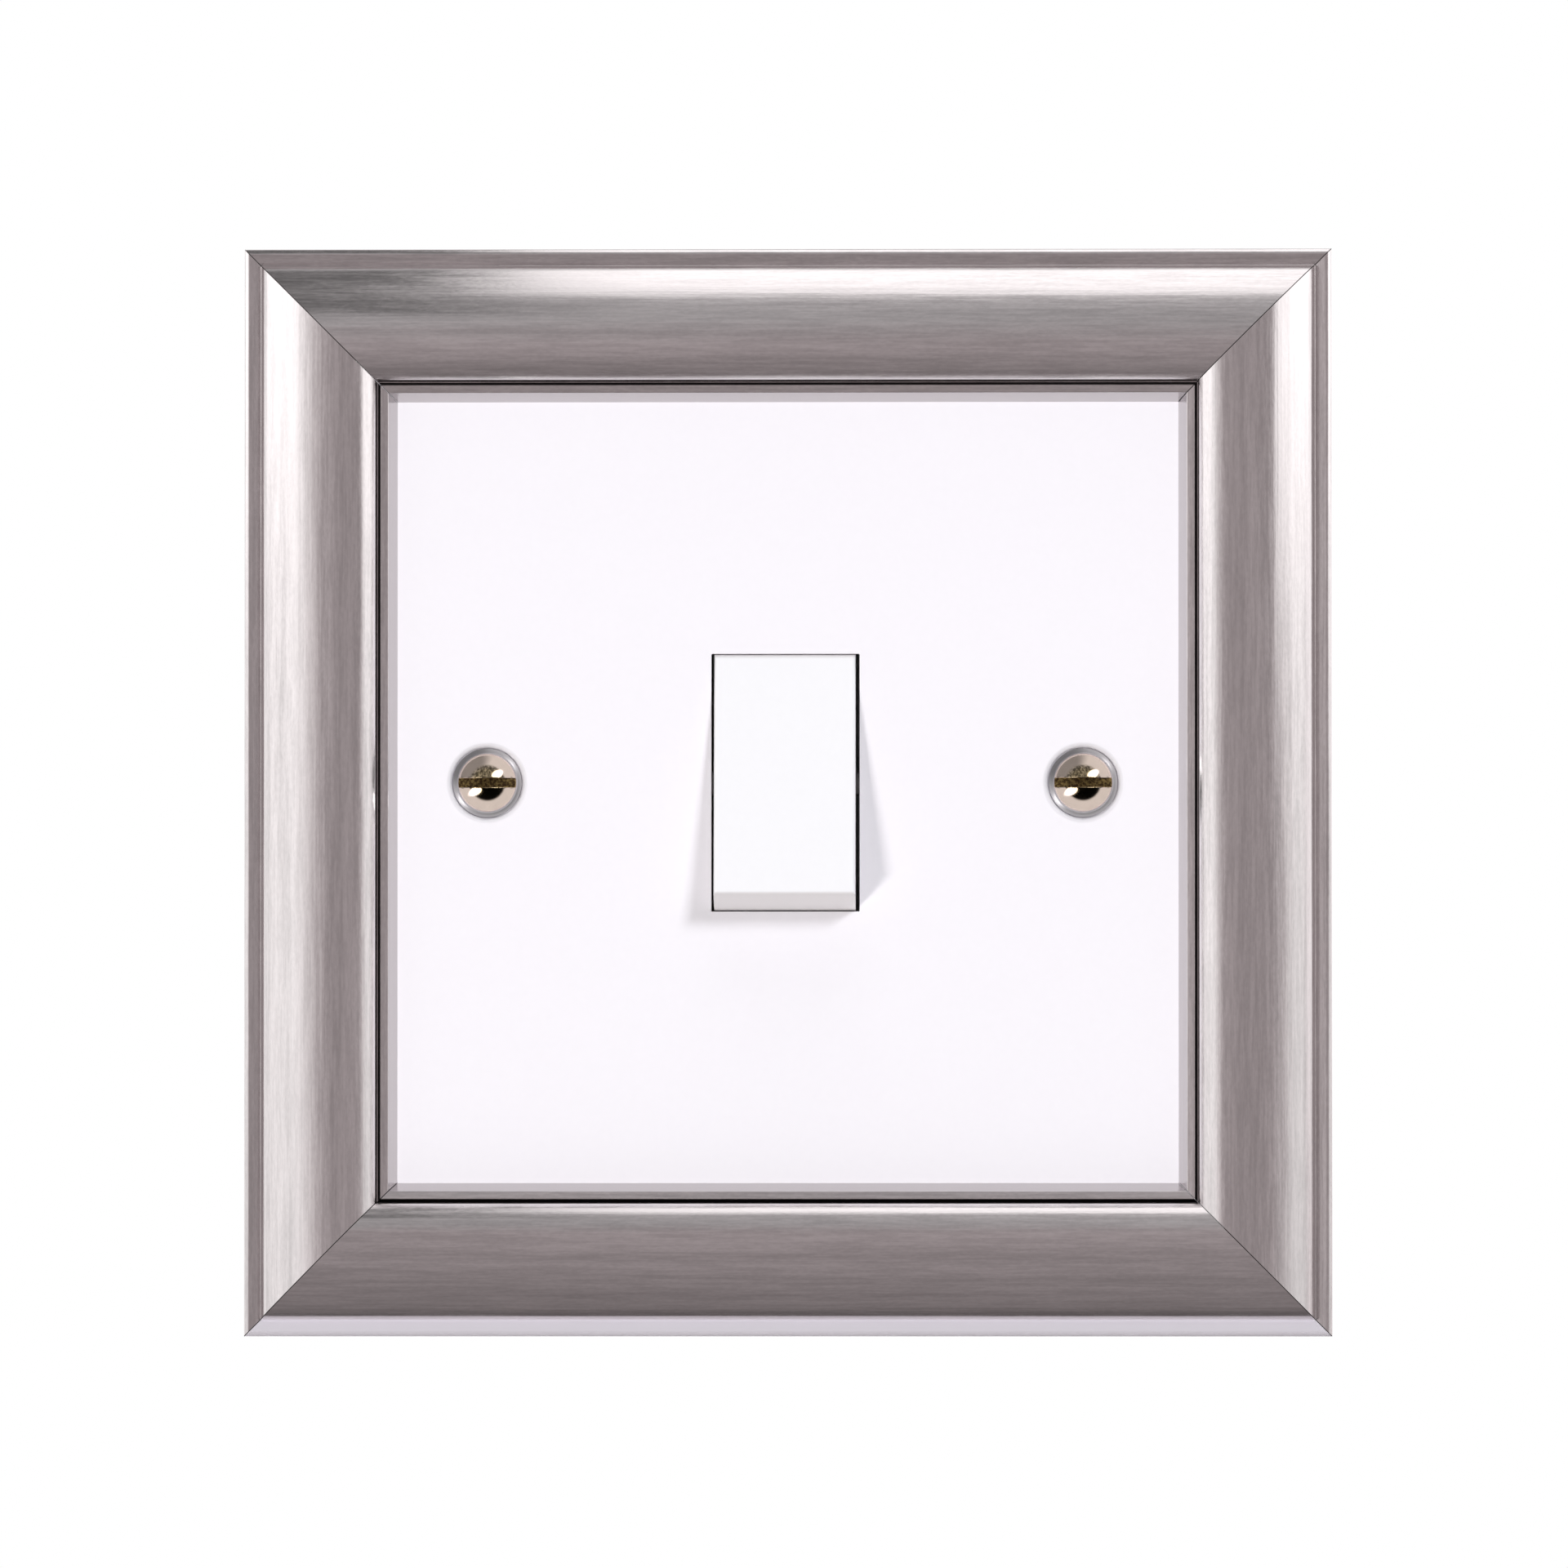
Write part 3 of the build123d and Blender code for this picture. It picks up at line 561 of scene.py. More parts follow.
@dataclass(frozen=True)
class Paper(Finish):
    """Plain matt paper."""

    def paint(self, graph: Graph) -> None:
        """Faintly clouded.

        Args:
            graph: The material's nodes.
        """
        clouds = graph.noise(60.0)
        graph.surface({
            "Base Color": graph.blend(clouds, self.shade(0.9655), self.colour),
            "Roughness": self.roughness,
        })


class Bench:
    """What the maker does with the piece in hand, through Blender's operators."""

    SHARP_EDGE = math.radians(32)
    SMOOTH_EDGE = math.radians(38)
    MERGE = 0.002 * MM

    @staticmethod
    def clear() -> None:
        """Leave edit mode and deselect everything."""
        if bpy.context.object and bpy.context.object.mode != "OBJECT":
            bpy.ops.object.mode_set(mode="OBJECT")
        bpy.ops.object.select_all(action="DESELECT")

    @staticmethod
    def take(piece: bpy.types.Object) -> None:
        """Make one piece the only selected and the active one.

        Args:
            piece: The piece.
        """
        Bench.clear()
        piece.select_set(True)
        bpy.context.view_layer.objects.active = piece

    @staticmethod
    def freeze(piece: bpy.types.Object) -> None:
        """Put the piece's place, turn and scale into its mesh."""
        Bench.take(piece)
        bpy.ops.object.transform_apply(location=True, rotation=True, scale=True)

    @staticmethod
    def edit(piece: bpy.types.Object) -> None:
        """Take a piece into edit mode with nothing selected in it.

        Args:
            piece: The piece.
        """
        Bench.take(piece)
        bpy.ops.object.mode_set(mode="EDIT")
        bpy.ops.mesh.select_all(action="DESELECT")

    @staticmethod
    def select(piece: bpy.types.Object, kind: str, test: Callable[[Element], bool]) -> None:
        """Select what passes a test, with the piece in edit mode.

        Args:
            piece: The piece.
            kind: EDGE or FACE.
            test: The test of an edge or face.
        """
        bpy.ops.mesh.select_mode(type=kind)
        bpy.ops.mesh.select_all(action="DESELECT")
        mesh = bmesh.from_edit_mesh(piece.data)
        for element in mesh.edges if kind == "EDGE" else mesh.faces:
            element.select_set(test(element))
        bmesh.update_edit_mesh(piece.data)

    @staticmethod
    def face_out() -> None:
        """Turn the faces of the piece in hand outwards, and leave edit mode."""
        bpy.ops.mesh.select_all(action="SELECT")
        bpy.ops.mesh.normals_make_consistent(inside=False)
        bpy.ops.object.mode_set(mode="OBJECT")

    @staticmethod
    def modify(piece: bpy.types.Object, kind: str, **settings: object) -> None:
        """Give a piece a modifier with these settings, and apply it.

        Args:
            piece: The piece.
            kind: The modifier's type.
            settings: Its properties.
        """
        Bench.take(piece)
        modifier = piece.modifiers.new(kind.lower(), kind)
        for name, value in settings.items():
            setattr(modifier, name, value)
        bpy.ops.object.modifier_apply(modifier=modifier.name)

    @staticmethod
    def block(low: Vector, high: Vector) -> bpy.types.Object:
        """Add a block between two corners.

        Args:
            low: The corner with the smaller coordinates.
            high: The opposite corner.

        Returns:
            The block.
        """
        Bench.clear()
        bpy.ops.mesh.primitive_cube_add(size=1, location=(low + high) / 2, scale=high - low)
        Bench.freeze(bpy.context.object)
        return bpy.context.object

    @staticmethod
    def rod(radius: float, low: Vector, high: Vector, sides: int = 96) -> bpy.types.Object:
        """Add a round rod between two points.

        Args:
            radius: Its radius.
            low: One end.
            high: The other end.
            sides: Number of flats round it.

        Returns:
            The rod.
        """
        Bench.clear()
        turn = (high - low).to_track_quat("Z", "Y").to_euler()
        bpy.ops.mesh.primitive_cylinder_add(
            vertices=sides, radius=radius, depth=(high - low).length,
            location=(low + high) / 2, rotation=turn,
        )
        Bench.freeze(bpy.context.object)
        return bpy.context.object

    @staticmethod
    def combine(piece: bpy.types.Object, tool: bpy.types.Object, operation: str) -> None:
        """Join a tool shape to the piece or cut it out, and remove the tool.

        Args:
            piece: The piece that is kept.
            tool: The shape that is used up.
            operation: UNION or DIFFERENCE.
        """
        Bench.modify(piece, "BOOLEAN", operation=operation, solver="EXACT", object=tool)
        bpy.data.objects.remove(tool)

    @staticmethod
    def ease_edges(piece: bpy.types.Object, width: float) -> None:
        """Round the piece's sharp edges to a width, and shade it by its large faces.

        Args:
            piece: The piece.
            width: The width.
        """
        Bench.modify(piece, "BEVEL", width=width, segments=3, limit_method="ANGLE",
                     angle_limit=Bench.SHARP_EDGE, use_clamp_overlap=False)
        Bench.shade(piece)

    @staticmethod
    def shade(piece: bpy.types.Object) -> None:
        """Shade smooth across shallow edges, with the large faces kept flat.

        Args:
            piece: The piece.
        """
        Bench.take(piece)
        bpy.ops.object.shade_smooth_by_angle(angle=Bench.SMOOTH_EDGE)
        Bench.modify(piece, "WEIGHTED_NORMAL", keep_sharp=True)

    @staticmethod
    def copy(piece: bpy.types.Object, turn: Matrix) -> bpy.types.Object:
        """Copy a piece with its own mesh and set the copy down turned or moved.

        Args:
            piece: The piece, with its place in its mesh.
            turn: Where the copy goes from there.

        Returns:
            The copy.
        """
        Bench.take(piece)
        bpy.ops.object.duplicate(linked=False)
        made = bpy.context.object
        made.matrix_world = turn
        Bench.freeze(made)
        return made

    @staticmethod
    def finish(piece: bpy.types.Object, name: str, slot: str, material: bpy.types.Material,
               nodes: list[str]) -> bpy.types.Object:
        """Name a finished piece, dress it, and let it stand for CAD nodes on the housing.

        Args:
            piece: The finished piece.
            name: Its name.
            slot: The record's material slot; not used.
            material: Its material.
            nodes: The CAD nodes that it stands for.

        Returns:
            The piece.
        """
        Bench.clear()
        piece.name = name
        piece.data.name = name
        piece.data.materials.clear()
        piece.data.materials.append(material)
        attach(piece, "housing")
        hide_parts(*nodes)
        log.info("%s: %d faces, for %s", name, len(piece.data.polygons), ", ".join(nodes))
        return piece


class Outline:
    """An outline drawn from vertex to vertex in edit mode, with lines and arcs."""

    def __init__(self, start: Vector) -> None:
        """Begin with a single vertex at a point.

        Args:
            start: The point.
        """
        Bench.clear()
        bpy.ops.mesh.primitive_plane_add(size=MM, location=start)
        self.piece = bpy.context.object
        Bench.freeze(self.piece)
        bpy.ops.object.mode_set(mode="EDIT")
        bpy.ops.mesh.select_mode(type="VERT")
        bpy.ops.mesh.select_all(action="SELECT")
        bpy.ops.mesh.merge(type="CENTER")
        self.at = start

    def line_to(self, point: Vector) -> "Outline":
        """Draw a straight edge to a point.

        Args:
            point: The point.

        Returns:
            The outline, for the next stroke.
        """
        bpy.ops.mesh.extrude_region_move(TRANSFORM_OT_translate={"value": point - self.at})
        self.at = point
        return self

    def arc(self, centre: Vector, axis: Vector, degrees: float, steps: int) -> "Outline":
        """Draw an arc from the present point.

        Args:
            centre: The arc's centre.
            axis: The axis that it turns about.
            degrees: How far it turns, by the right-hand rule.
            steps: Number of edges.

        Returns:
            The outline, for the next stroke.
        """
        angle = math.radians(degrees)
        bpy.ops.mesh.spin(steps=steps, angle=-angle, center=centre, axis=axis)
        self.at = centre + Matrix.Rotation(angle, 3, axis) @ (self.at - centre)
        return self

    def closed(self) -> "Outline":
        """Merge the last point with the first and fill the outline.

        Returns:
            The outline.
        """
        bpy.ops.mesh.select_all(action="SELECT")
        bpy.ops.mesh.remove_doubles(threshold=Bench.MERGE)
        bpy.ops.mesh.edge_face_add()
        return self

    def drawn_out(self, by: Vector) -> bpy.types.Object:
        """Extrude the filled outline into a solid.

        Args:
            by: How far, and which way.

        Returns:
            The solid.
        """
        bpy.ops.mesh.select_all(action="SELECT")
        bpy.ops.mesh.extrude_region_move(TRANSFORM_OT_translate={"value": by})
        Bench.face_out()
        return self.piece

    def turned(self, lathe: "Lathe", steps: int) -> bpy.types.Object:
        """Turn an open outline, whose ends lie on the lathe's line, into a solid.

        Args:
            lathe: The line.
            steps: Number of steps round it.

        Returns:
            The solid.
        """
        bpy.ops.mesh.select_all(action="SELECT")
        bpy.ops.mesh.spin(steps=steps, angle=math.tau, center=lathe.place, axis=ALONG_Y)
        bpy.ops.mesh.select_all(action="SELECT")
        bpy.ops.mesh.remove_doubles(threshold=Bench.MERGE)
        Bench.face_out()
        return self.piece


class Lathe:
    """A line into the wall through a CAD node's middle, that round pieces are turned about."""

    def __init__(self, node: str) -> None:
        """Take the line from the node's box.

        Args:
            node: The CAD node.
        """
        low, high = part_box(node)
        self.place = Vector(((low.x + high.x) / 2, 0, (low.z + high.z) / 2))
        self.front, self.back = low.y, high.y
        self.radius = (high.x - low.x) / 2

    def at(self, radius: float, y: float) -> Vector:
        """The point of an outline at a radius and a depth."""
        return self.place + Vector((radius, y, 0))

    def cut_slot(self, piece: bpy.types.Object, reach: float, depths: tuple[float, float],
                 width: float) -> None:
        """Cut a level slot right across a screw's head.

        Args:
            piece: The screw.
            reach: Half the cutter's length.
            depths: Where the cutter begins and ends, from front to back.
            width: The slot's width.
        """
        front, back = depths
        low, high = Vector((-reach, front, -width / 2)), Vector((reach, back, width / 2))
        Bench.combine(piece, Bench.block(self.place + low, self.place + high), "DIFFERENCE")


FIXINGS = [Lathe("fixing_screw_" + side) for side in ("left", "right")]
MODULE_FIXINGS = [Lathe("module_screw_" + end) for end in ("upper", "lower")]


@dataclass
class Surround:
    """The mitred surround: four lengths of moulding about the plate."""

    rail_width: float = 15.5 * MM
    heel_width: float = 10.95 * MM
    back: float = 0.8 * MM
    side_height: float = 8.0 * MM
    side_edge_r: float = 0.6 * MM
    quirk_offset: float = 1.7 * MM
    quirk_height: float = 7.7 * MM
    flank_r: float = 3.5 * MM
    crown_offset: float = 10.2 * MM
    crown_height: float = 13.0 * MM
    shoulder_offset: float = 13.4 * MM
    shoulder_height: float = 11.4 * MM
    step_offset: float = 13.55 * MM
    step_height: float = 10.0 * MM
    slip_offset: float = 14.65 * MM
    slip_height: float = 9.85 * MM
    groove_depth: float = 0.6 * MM
    groove_width: float = 0.36 * MM
    sight_height: float = 7.55 * MM
    lip_height: float = 7.1 * MM
    rail_wall: float = 1.3 * MM
    rebate_wall: float = 1.2 * MM
    crown_wall: float = 1.5 * MM
    channel_lip: float = 1.6 * MM
    channel_floor: float = 2.0 * MM
    channel_roof: float = 5.1 * MM
    ledge_width: float = 1.2 * MM
    lip_wall: float = 1.3 * MM
    nose_wall: float = 1.4 * MM
    mitre_gap: float = 0.03 * MM
    spare: float = 1.0 * MM
    edge_ease: float = 0.07 * MM
    colour: Colour = (0.76, 0.72, 0.725)
    roughness: float = 0.2
    centre: Vector = field(init=False)
    half: float = field(init=False)

    def __post_init__(self) -> None:
        """Take the surround's centre and size from the frame."""
        left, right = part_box("frame_rail_left"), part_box("frame_rail_right")
        bottom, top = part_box("frame_rail_bottom"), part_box("frame_rail_top")
        self.centre = Vector(((left[0].x + right[1].x) / 2, 0, (bottom[0].z + top[1].z) / 2))
        self.half = (right[1].x - left[0].x) / 2

    def point(self, offset: float, height: float) -> Vector:
        """A point of the bottom length's section, a little past its left end."""
        return Vector((-self.half - self.spare, -height, -self.half + offset))

    def section(self) -> Outline:
        """Draw the moulding's section and fill it.

        Returns:
            The filled outline.
        """
        run = self.crown_offset - self.quirk_offset
        rise = self.crown_height - self.quirk_height
        small = self.flank_r
        large = ((run - small) ** 2 + rise ** 2 - small ** 2) / (2 * (rise - small))
        join = math.degrees(math.asin((run - small) / (large - small)))
        flank = self.point(self.quirk_offset + small, self.quirk_height)
        crown = self.point(self.crown_offset, self.crown_height - large)
        drop = self.crown_height - self.shoulder_height
        reach = self.shoulder_offset - self.crown_offset
        round_r = (reach ** 2 + drop ** 2) / (2 * drop)
        shoulder = self.point(self.crown_offset, self.crown_height - round_r)
        shoulder_turn = math.degrees(math.asin(reach / round_r))
        inner_r = round_r - self.crown_wall
        nose = self.shoulder_offset - self.nose_wall
        nose_turn = math.degrees(math.asin((nose - self.crown_offset) / inner_r))
        nose_dip = inner_r * (1 - math.cos(math.radians(nose_turn)))
        edge = self.point(self.side_edge_r, self.side_height - self.side_edge_r)
        channel_inner = self.heel_width - self.rebate_wall
        lip_right = channel_inner - self.channel_lip
        lip_left = self.rail_wall + self.channel_lip
        neck = channel_inner - self.ledge_width
        roof = self.crown_height - self.crown_wall
        outline = Outline(self.point(0, self.back))
        outline.line_to(self.point(0, self.side_height - self.side_edge_r))
        outline.arc(edge, ALONG_X, -90, 8)
        outline.line_to(self.point(self.quirk_offset, self.quirk_height))
        outline.arc(flank, ALONG_X, join - 90, 20)
        outline.arc(crown, ALONG_X, -join, 36)
        outline.arc(shoulder, ALONG_X, -shoulder_turn, 22)
        for offset, height in (
            (self.step_offset, self.step_height - self.groove_depth),
            (self.step_offset + self.groove_width, self.step_height),
            (self.slip_offset, self.slip_height),
            (self.rail_width, self.sight_height),
            (self.rail_width, self.lip_height),
            (self.heel_width, self.lip_height),
            (self.heel_width, self.back),
            (lip_right, self.back),
            (lip_right, self.channel_floor),
            (channel_inner, self.channel_floor),
            (channel_inner, self.channel_roof),
            (neck, self.channel_roof),
            (neck, self.lip_height + self.lip_wall),
            (nose, self.lip_height + self.lip_wall),
            (nose, roof - nose_dip),
        ):
            outline.line_to(self.point(offset, height))
        outline.arc(shoulder, ALONG_X, nose_turn, 8)
        outline.arc(crown, ALONG_X, join, 12)
        outline.arc(flank, ALONG_X, 90 - join, 8)
        for offset, height in (
            (self.quirk_offset + self.crown_wall, self.channel_roof),
            (self.rail_wall, self.channel_roof),
            (self.rail_wall, self.channel_floor),
            (lip_left, self.channel_floor),
            (lip_left, self.back),
            (0, self.back),
        ):
            outline.line_to(self.point(offset, height))
        return outline.closed()

    def rail(self) -> bpy.types.Object:
        """Model the bottom length about the surround's centre, mitred at both ends.

        Returns:
            The length.
        """
        piece = self.section().drawn_out(Vector((2 * (self.half + self.spare), 0, 0)))
        Bench.ease_edges(piece, self.edge_ease)
        Bench.edit(piece)
        trim = self.mitre_gap / 2 * math.sqrt(2)
        for side in (-1, 1):
            bpy.ops.mesh.select_all(action="SELECT")
            bpy.ops.mesh.bisect(
                plane_co=(side * (self.half - trim), 0, -self.half),
                plane_no=(side, 0, 1), use_fill=True, clear_outer=True,
            )
        bpy.ops.object.mode_set(mode="OBJECT")
        bpy.ops.mesh.customdata_custom_splitnormals_clear()
        Bench.shade(piece)
        return piece

    def build(self) -> None:
        """Make the four lengths and dress them along their own grain."""
        level, upright = (
            DrawnMetal("moulding_" + grain.name.lower(), self.colour, self.roughness,
                       grain, self.centre, self.half).material()
            for grain in (Grain.LEVEL, Grain.UPRIGHT)
        )
        rail = self.rail()
        for quarter, side in enumerate(("bottom", "left", "top", "right")):
            turn = Matrix.Translation(self.centre) @ Matrix.Rotation(quarter * math.pi / 2, 4, "Y")
            material = upright if quarter % 2 else level
            node = "frame_rail_" + side
            piece = Bench.copy(rail, turn)
            piece.visible_shadow = False
            Bench.finish(piece, "moulding_" + side, "rail_metal", material, [node])
        bpy.data.objects.remove(rail)


@dataclass
class PlateMoulding:
    """The white switch plate: a tray with ribs, screw bosses, recesses and an aperture."""

    size: float = 86.0 * MM
    depth: float = 7.0 * MM
    wall: float = 2.0 * MM
    skirt: float = 1.8 * MM
    corner_r: float = 2.5 * MM
    front_edge: float = 0.8 * MM
    rib_wall: float = 1.2 * MM
    rib_depth: float = 3.0 * MM
    rib_x: float = 21.5 * MM
    rib_z: float = 26.5 * MM
    boss_r: float = 5.4 * MM
    hole_r: float = 2.1 * MM
    recess_r: float = 3.6 * MM
    recess_edge: float = 0.5 * MM
    recess_depth: float = 0.55 * MM
    pivot_depth: float = 3.4 * MM
    aperture_left: float = 7.42 * MM
    aperture_right: float = 7.52 * MM
    aperture_half_z: float = 13.0 * MM
    module_boss_r: float = 3.1 * MM
    module_hole_r: float = 1.5 * MM
    module_hole_depth: float = 4.4 * MM
    edge_ease: float = 0.1 * MM
    colour: Colour = (0.932, 0.902, 0.945)
    roughness: float = 0.34

    def tray(self) -> bpy.types.Object:
        """Model the tray from a block: corners, front edge, and the hollow behind.

        Returns:
            The tray.
        """
        half = self.size / 2
        piece = Bench.block(Vector((-half, -self.depth, -half)), Vector((half, 0, half)))
        Bench.edit(piece)
        Bench.select(piece, "EDGE", lambda e: abs((e.verts[0].co - e.verts[1].co).y) > self.depth / 2)
        bpy.ops.mesh.bevel(offset=self.corner_r, segments=10, affect="EDGES")
        Bench.select(piece, "EDGE", lambda e: all(v.co.y < Bench.MERGE - self.depth for v in e.verts))
        bpy.ops.mesh.bevel(offset=self.front_edge, segments=5, affect="EDGES")
        Bench.select(piece, "FACE", lambda f: f.normal.y > 0.9)
        bpy.ops.mesh.inset(thickness=self.skirt)
        hollow = Vector((0, self.wall - self.depth, 0))
        bpy.ops.mesh.extrude_region_move(TRANSFORM_OT_translate={"value": hollow})
        Bench.face_out()
        return piece

    def ribs(self) -> list[bpy.types.Object]:
        """Blocks for the ribs across the hollow.

        Returns:
            The blocks.
        """
        floor = self.wall - self.depth
        sunk, top = floor - self.wall / 2, floor + self.rib_depth
        reach = self.size / 2 - self.skirt / 2
        half = self.rib_wall / 2
        made = []
        for side in (-1, 1):
            x, z = side * self.rib_x, side * self.rib_z
            made.append(Bench.block(Vector((x - half, sunk, -reach)), Vector((x + half, top, reach))))
            made.append(Bench.block(Vector((-reach, sunk, z - half)), Vector((reach, top, z + half))))
        return made

    def bosses(self) -> list[bpy.types.Object]:
        """Rods for the bosses behind the fixing and the module screws.

        Returns:
            The rods.
        """
        sunk = self.wall / 2 - self.depth
        made = [Bench.rod(self.boss_r, lathe.at(0, sunk), lathe.place) for lathe in FIXINGS]
        for lathe in MODULE_FIXINGS:
            made.append(Bench.rod(self.module_boss_r, lathe.at(0, sunk), lathe.place))
        return made

    def recess(self, lathe: Lathe) -> bpy.types.Object:
        """A turned cutter: a rounded mouth, a short wall, a cone and the screw's hole.

        Args:
            lathe: The screw's line.

        Returns:
            The cutter.
        """
        front = -self.depth
        mouth = self.recess_r + self.recess_edge
        floor = front + self.recess_depth
        outline = Outline(lathe.at(0, front - MM))
        outline.line_to(lathe.at(mouth, front - MM)).line_to(lathe.at(mouth, front))
        outline.arc(lathe.at(mouth, front + self.recess_edge), UP, -90, 6)
        outline.line_to(lathe.at(self.recess_r, floor))
        outline.line_to(lathe.at(self.hole_r, floor + self.recess_r - self.hole_r))
        outline.line_to(lathe.at(self.hole_r, MM)).line_to(lathe.at(0, MM))
        return outline.turned(lathe, 96)

    def aperture(self) -> bpy.types.Object:
        """A rod about the rocker's trunnions that cuts the aperture.

        Returns:
            The rod.
        """
        pivot = self.pivot_depth - self.depth
        radius = math.hypot(self.aperture_half_z, self.pivot_depth)
        left = Vector((-self.aperture_left, pivot, 0))
        right = Vector((self.aperture_right, pivot, 0))
        return Bench.rod(radius, left, right, 256)

    def build(self) -> None:
        """Make the plate and let it stand for its CAD node."""
        piece = self.tray()
        for solid in self.ribs() + self.bosses():
            Bench.combine(piece, solid, "UNION")
        for lathe in FIXINGS:
            Bench.combine(piece, self.recess(lathe), "DIFFERENCE")
        for lathe in MODULE_FIXINGS:
            ends = lathe.at(0, -self.module_hole_depth), lathe.at(0, MM)
            Bench.combine(piece, Bench.rod(self.module_hole_r, *ends, 48), "DIFFERENCE")
        Bench.combine(piece, self.aperture(), "DIFFERENCE")
        Bench.ease_edges(piece, self.edge_ease)
        material = WindowedMoulding("plate_moulding", self.colour, self.roughness).material()
        Bench.finish(piece, "plate", "plate_white", material, ["switch_plate"])


@dataclass
class FixingScrew:
    """A raised countersunk screw: slotted dome, cone, bare neck and a cut thread."""

    side: str
    dome_r: float = 3.05 * MM
    dome_height: float = 1.25 * MM
    rim_r: float = 3.5 * MM
    rim_height: float = 0.2 * MM
    neck_r: float = 1.5 * MM
    thread_r: float = 1.75 * MM
    root_r: float = 1.42 * MM
    tip_r: float = 0.994 * MM
    thread_sink: float = 0.0426 * MM
    pitch: float = 0.6 * MM
    slot_width: float = 0.95 * MM
    slot_length: float = 5.7 * MM
    edge_ease: float = 0.06 * MM

    def build(self, material: bpy.types.Material) -> None:
        """Make the screw on its CAD node's place.

        Args:
            material: The plating.
        """
        node = "fixing_screw_" + self.side
        lathe = Lathe(node)
        top, tip = lathe.front, lathe.back
        rim = top + self.dome_height
        seat = rim + self.rim_height
        sphere_r = (self.dome_r ** 2 + self.dome_height ** 2) / (2 * self.dome_height)
        turn = math.degrees(math.asin(self.dome_r / sphere_r))
        outline = Outline(lathe.at(0, top)).arc(lathe.at(0, top + sphere_r), UP, turn, 16)
        for radius, y in (
            (self.rim_r, rim),
            (self.rim_r, seat),
            (self.neck_r, seat + self.rim_r - self.neck_r),
            (self.neck_r, 0),
            (self.root_r, self.pitch / 2),
            (self.root_r, tip - self.pitch),
            (self.tip_r, tip),
            (0, tip),
        ):
            outline.line_to(lathe.at(radius, y))
        piece = outline.turned(lathe, 96)
        slot_floor = top + sphere_r - math.sqrt(sphere_r ** 2 - (self.slot_length / 2) ** 2)
        lathe.cut_slot(piece, self.rim_r, (top - MM, slot_floor), self.slot_width)
        Bench.ease_edges(piece, self.edge_ease)
        thread = self.thread(lathe, tip)
        Bench.take(piece)
        thread.select_set(True)
        bpy.ops.object.join()
        Bench.finish(piece, "screw_" + self.side, "nickel_screw", material, [node])

    def thread(self, lathe: Lathe, tip: float) -> bpy.types.Object:
        """A thread wound round the shank from the wall plane to near the tip.

        Args:
            lathe: The screw's axis.
            tip: Depth of the screw's tip.

        Returns:
            The thread.
        """
        sunk = self.root_r - self.thread_sink
        turns = int((tip - 2 * self.pitch) / self.pitch)
        outline = Outline(lathe.at(sunk, self.pitch * 0.1))
        for radius, share in ((self.thread_r, 0.44), (self.thread_r, 0.56), (sunk, 0.9), (sunk, 0.1)):
            outline.line_to(lathe.at(radius, self.pitch * share))
        outline.closed()
        bpy.ops.mesh.delete(type="ONLY_FACE")
        bpy.ops.object.mode_set(mode="OBJECT")
        piece = outline.piece
        Bench.take(piece)
        bpy.context.scene.cursor.location = lathe.place
        bpy.ops.object.origin_set(type="ORIGIN_CURSOR")
        Bench.modify(piece, "SCREW", axis="Y", screw_offset=self.pitch, iterations=turns,
                     steps=36, render_steps=36, use_smooth_shade=True)
        Bench.freeze(piece)
        Bench.edit(piece)
        bpy.ops.mesh.select_all(action="SELECT")
        bpy.ops.mesh.fill_holes(sides=0)
        Bench.face_out()
        Bench.shade(piece)
        return piece


@dataclass
class ClampScrew:
    """A terminal's clamp screw: a slotted flat head on a plain shank."""

    terminal: str
    shank_r: float = 1.75 * MM
    head_height: float = 1.4 * MM
    slot_width: float = 0.9 * MM
    slot_depth: float = 0.8 * MM
    edge_ease: float = 0.09 * MM

    def build(self, material: bpy.types.Material) -> None:
        """Make the screw on its CAD node's place.

        Args:
            material: The brass.
        """
        node = "terminal_screw_" + self.terminal
        lathe = Lathe(node)
        tip, top, head_r = lathe.front, lathe.back, lathe.radius
        seat = top - self.head_height
        outline = Outline(lathe.at(0, tip))
        shank_r = self.shank_r
        for radius, y in ((shank_r, tip), (shank_r, seat), (head_r, seat), (head_r, top), (0, top)):
            outline.line_to(lathe.at(radius, y))
        piece = outline.turned(lathe, 64)
        lathe.cut_slot(piece, 2 * head_r, (top - self.slot_depth, top + MM), self.slot_width)
        Bench.ease_edges(piece, self.edge_ease)
        Bench.finish(piece, "clamp_screw_" + self.terminal, "brass", material, [node])


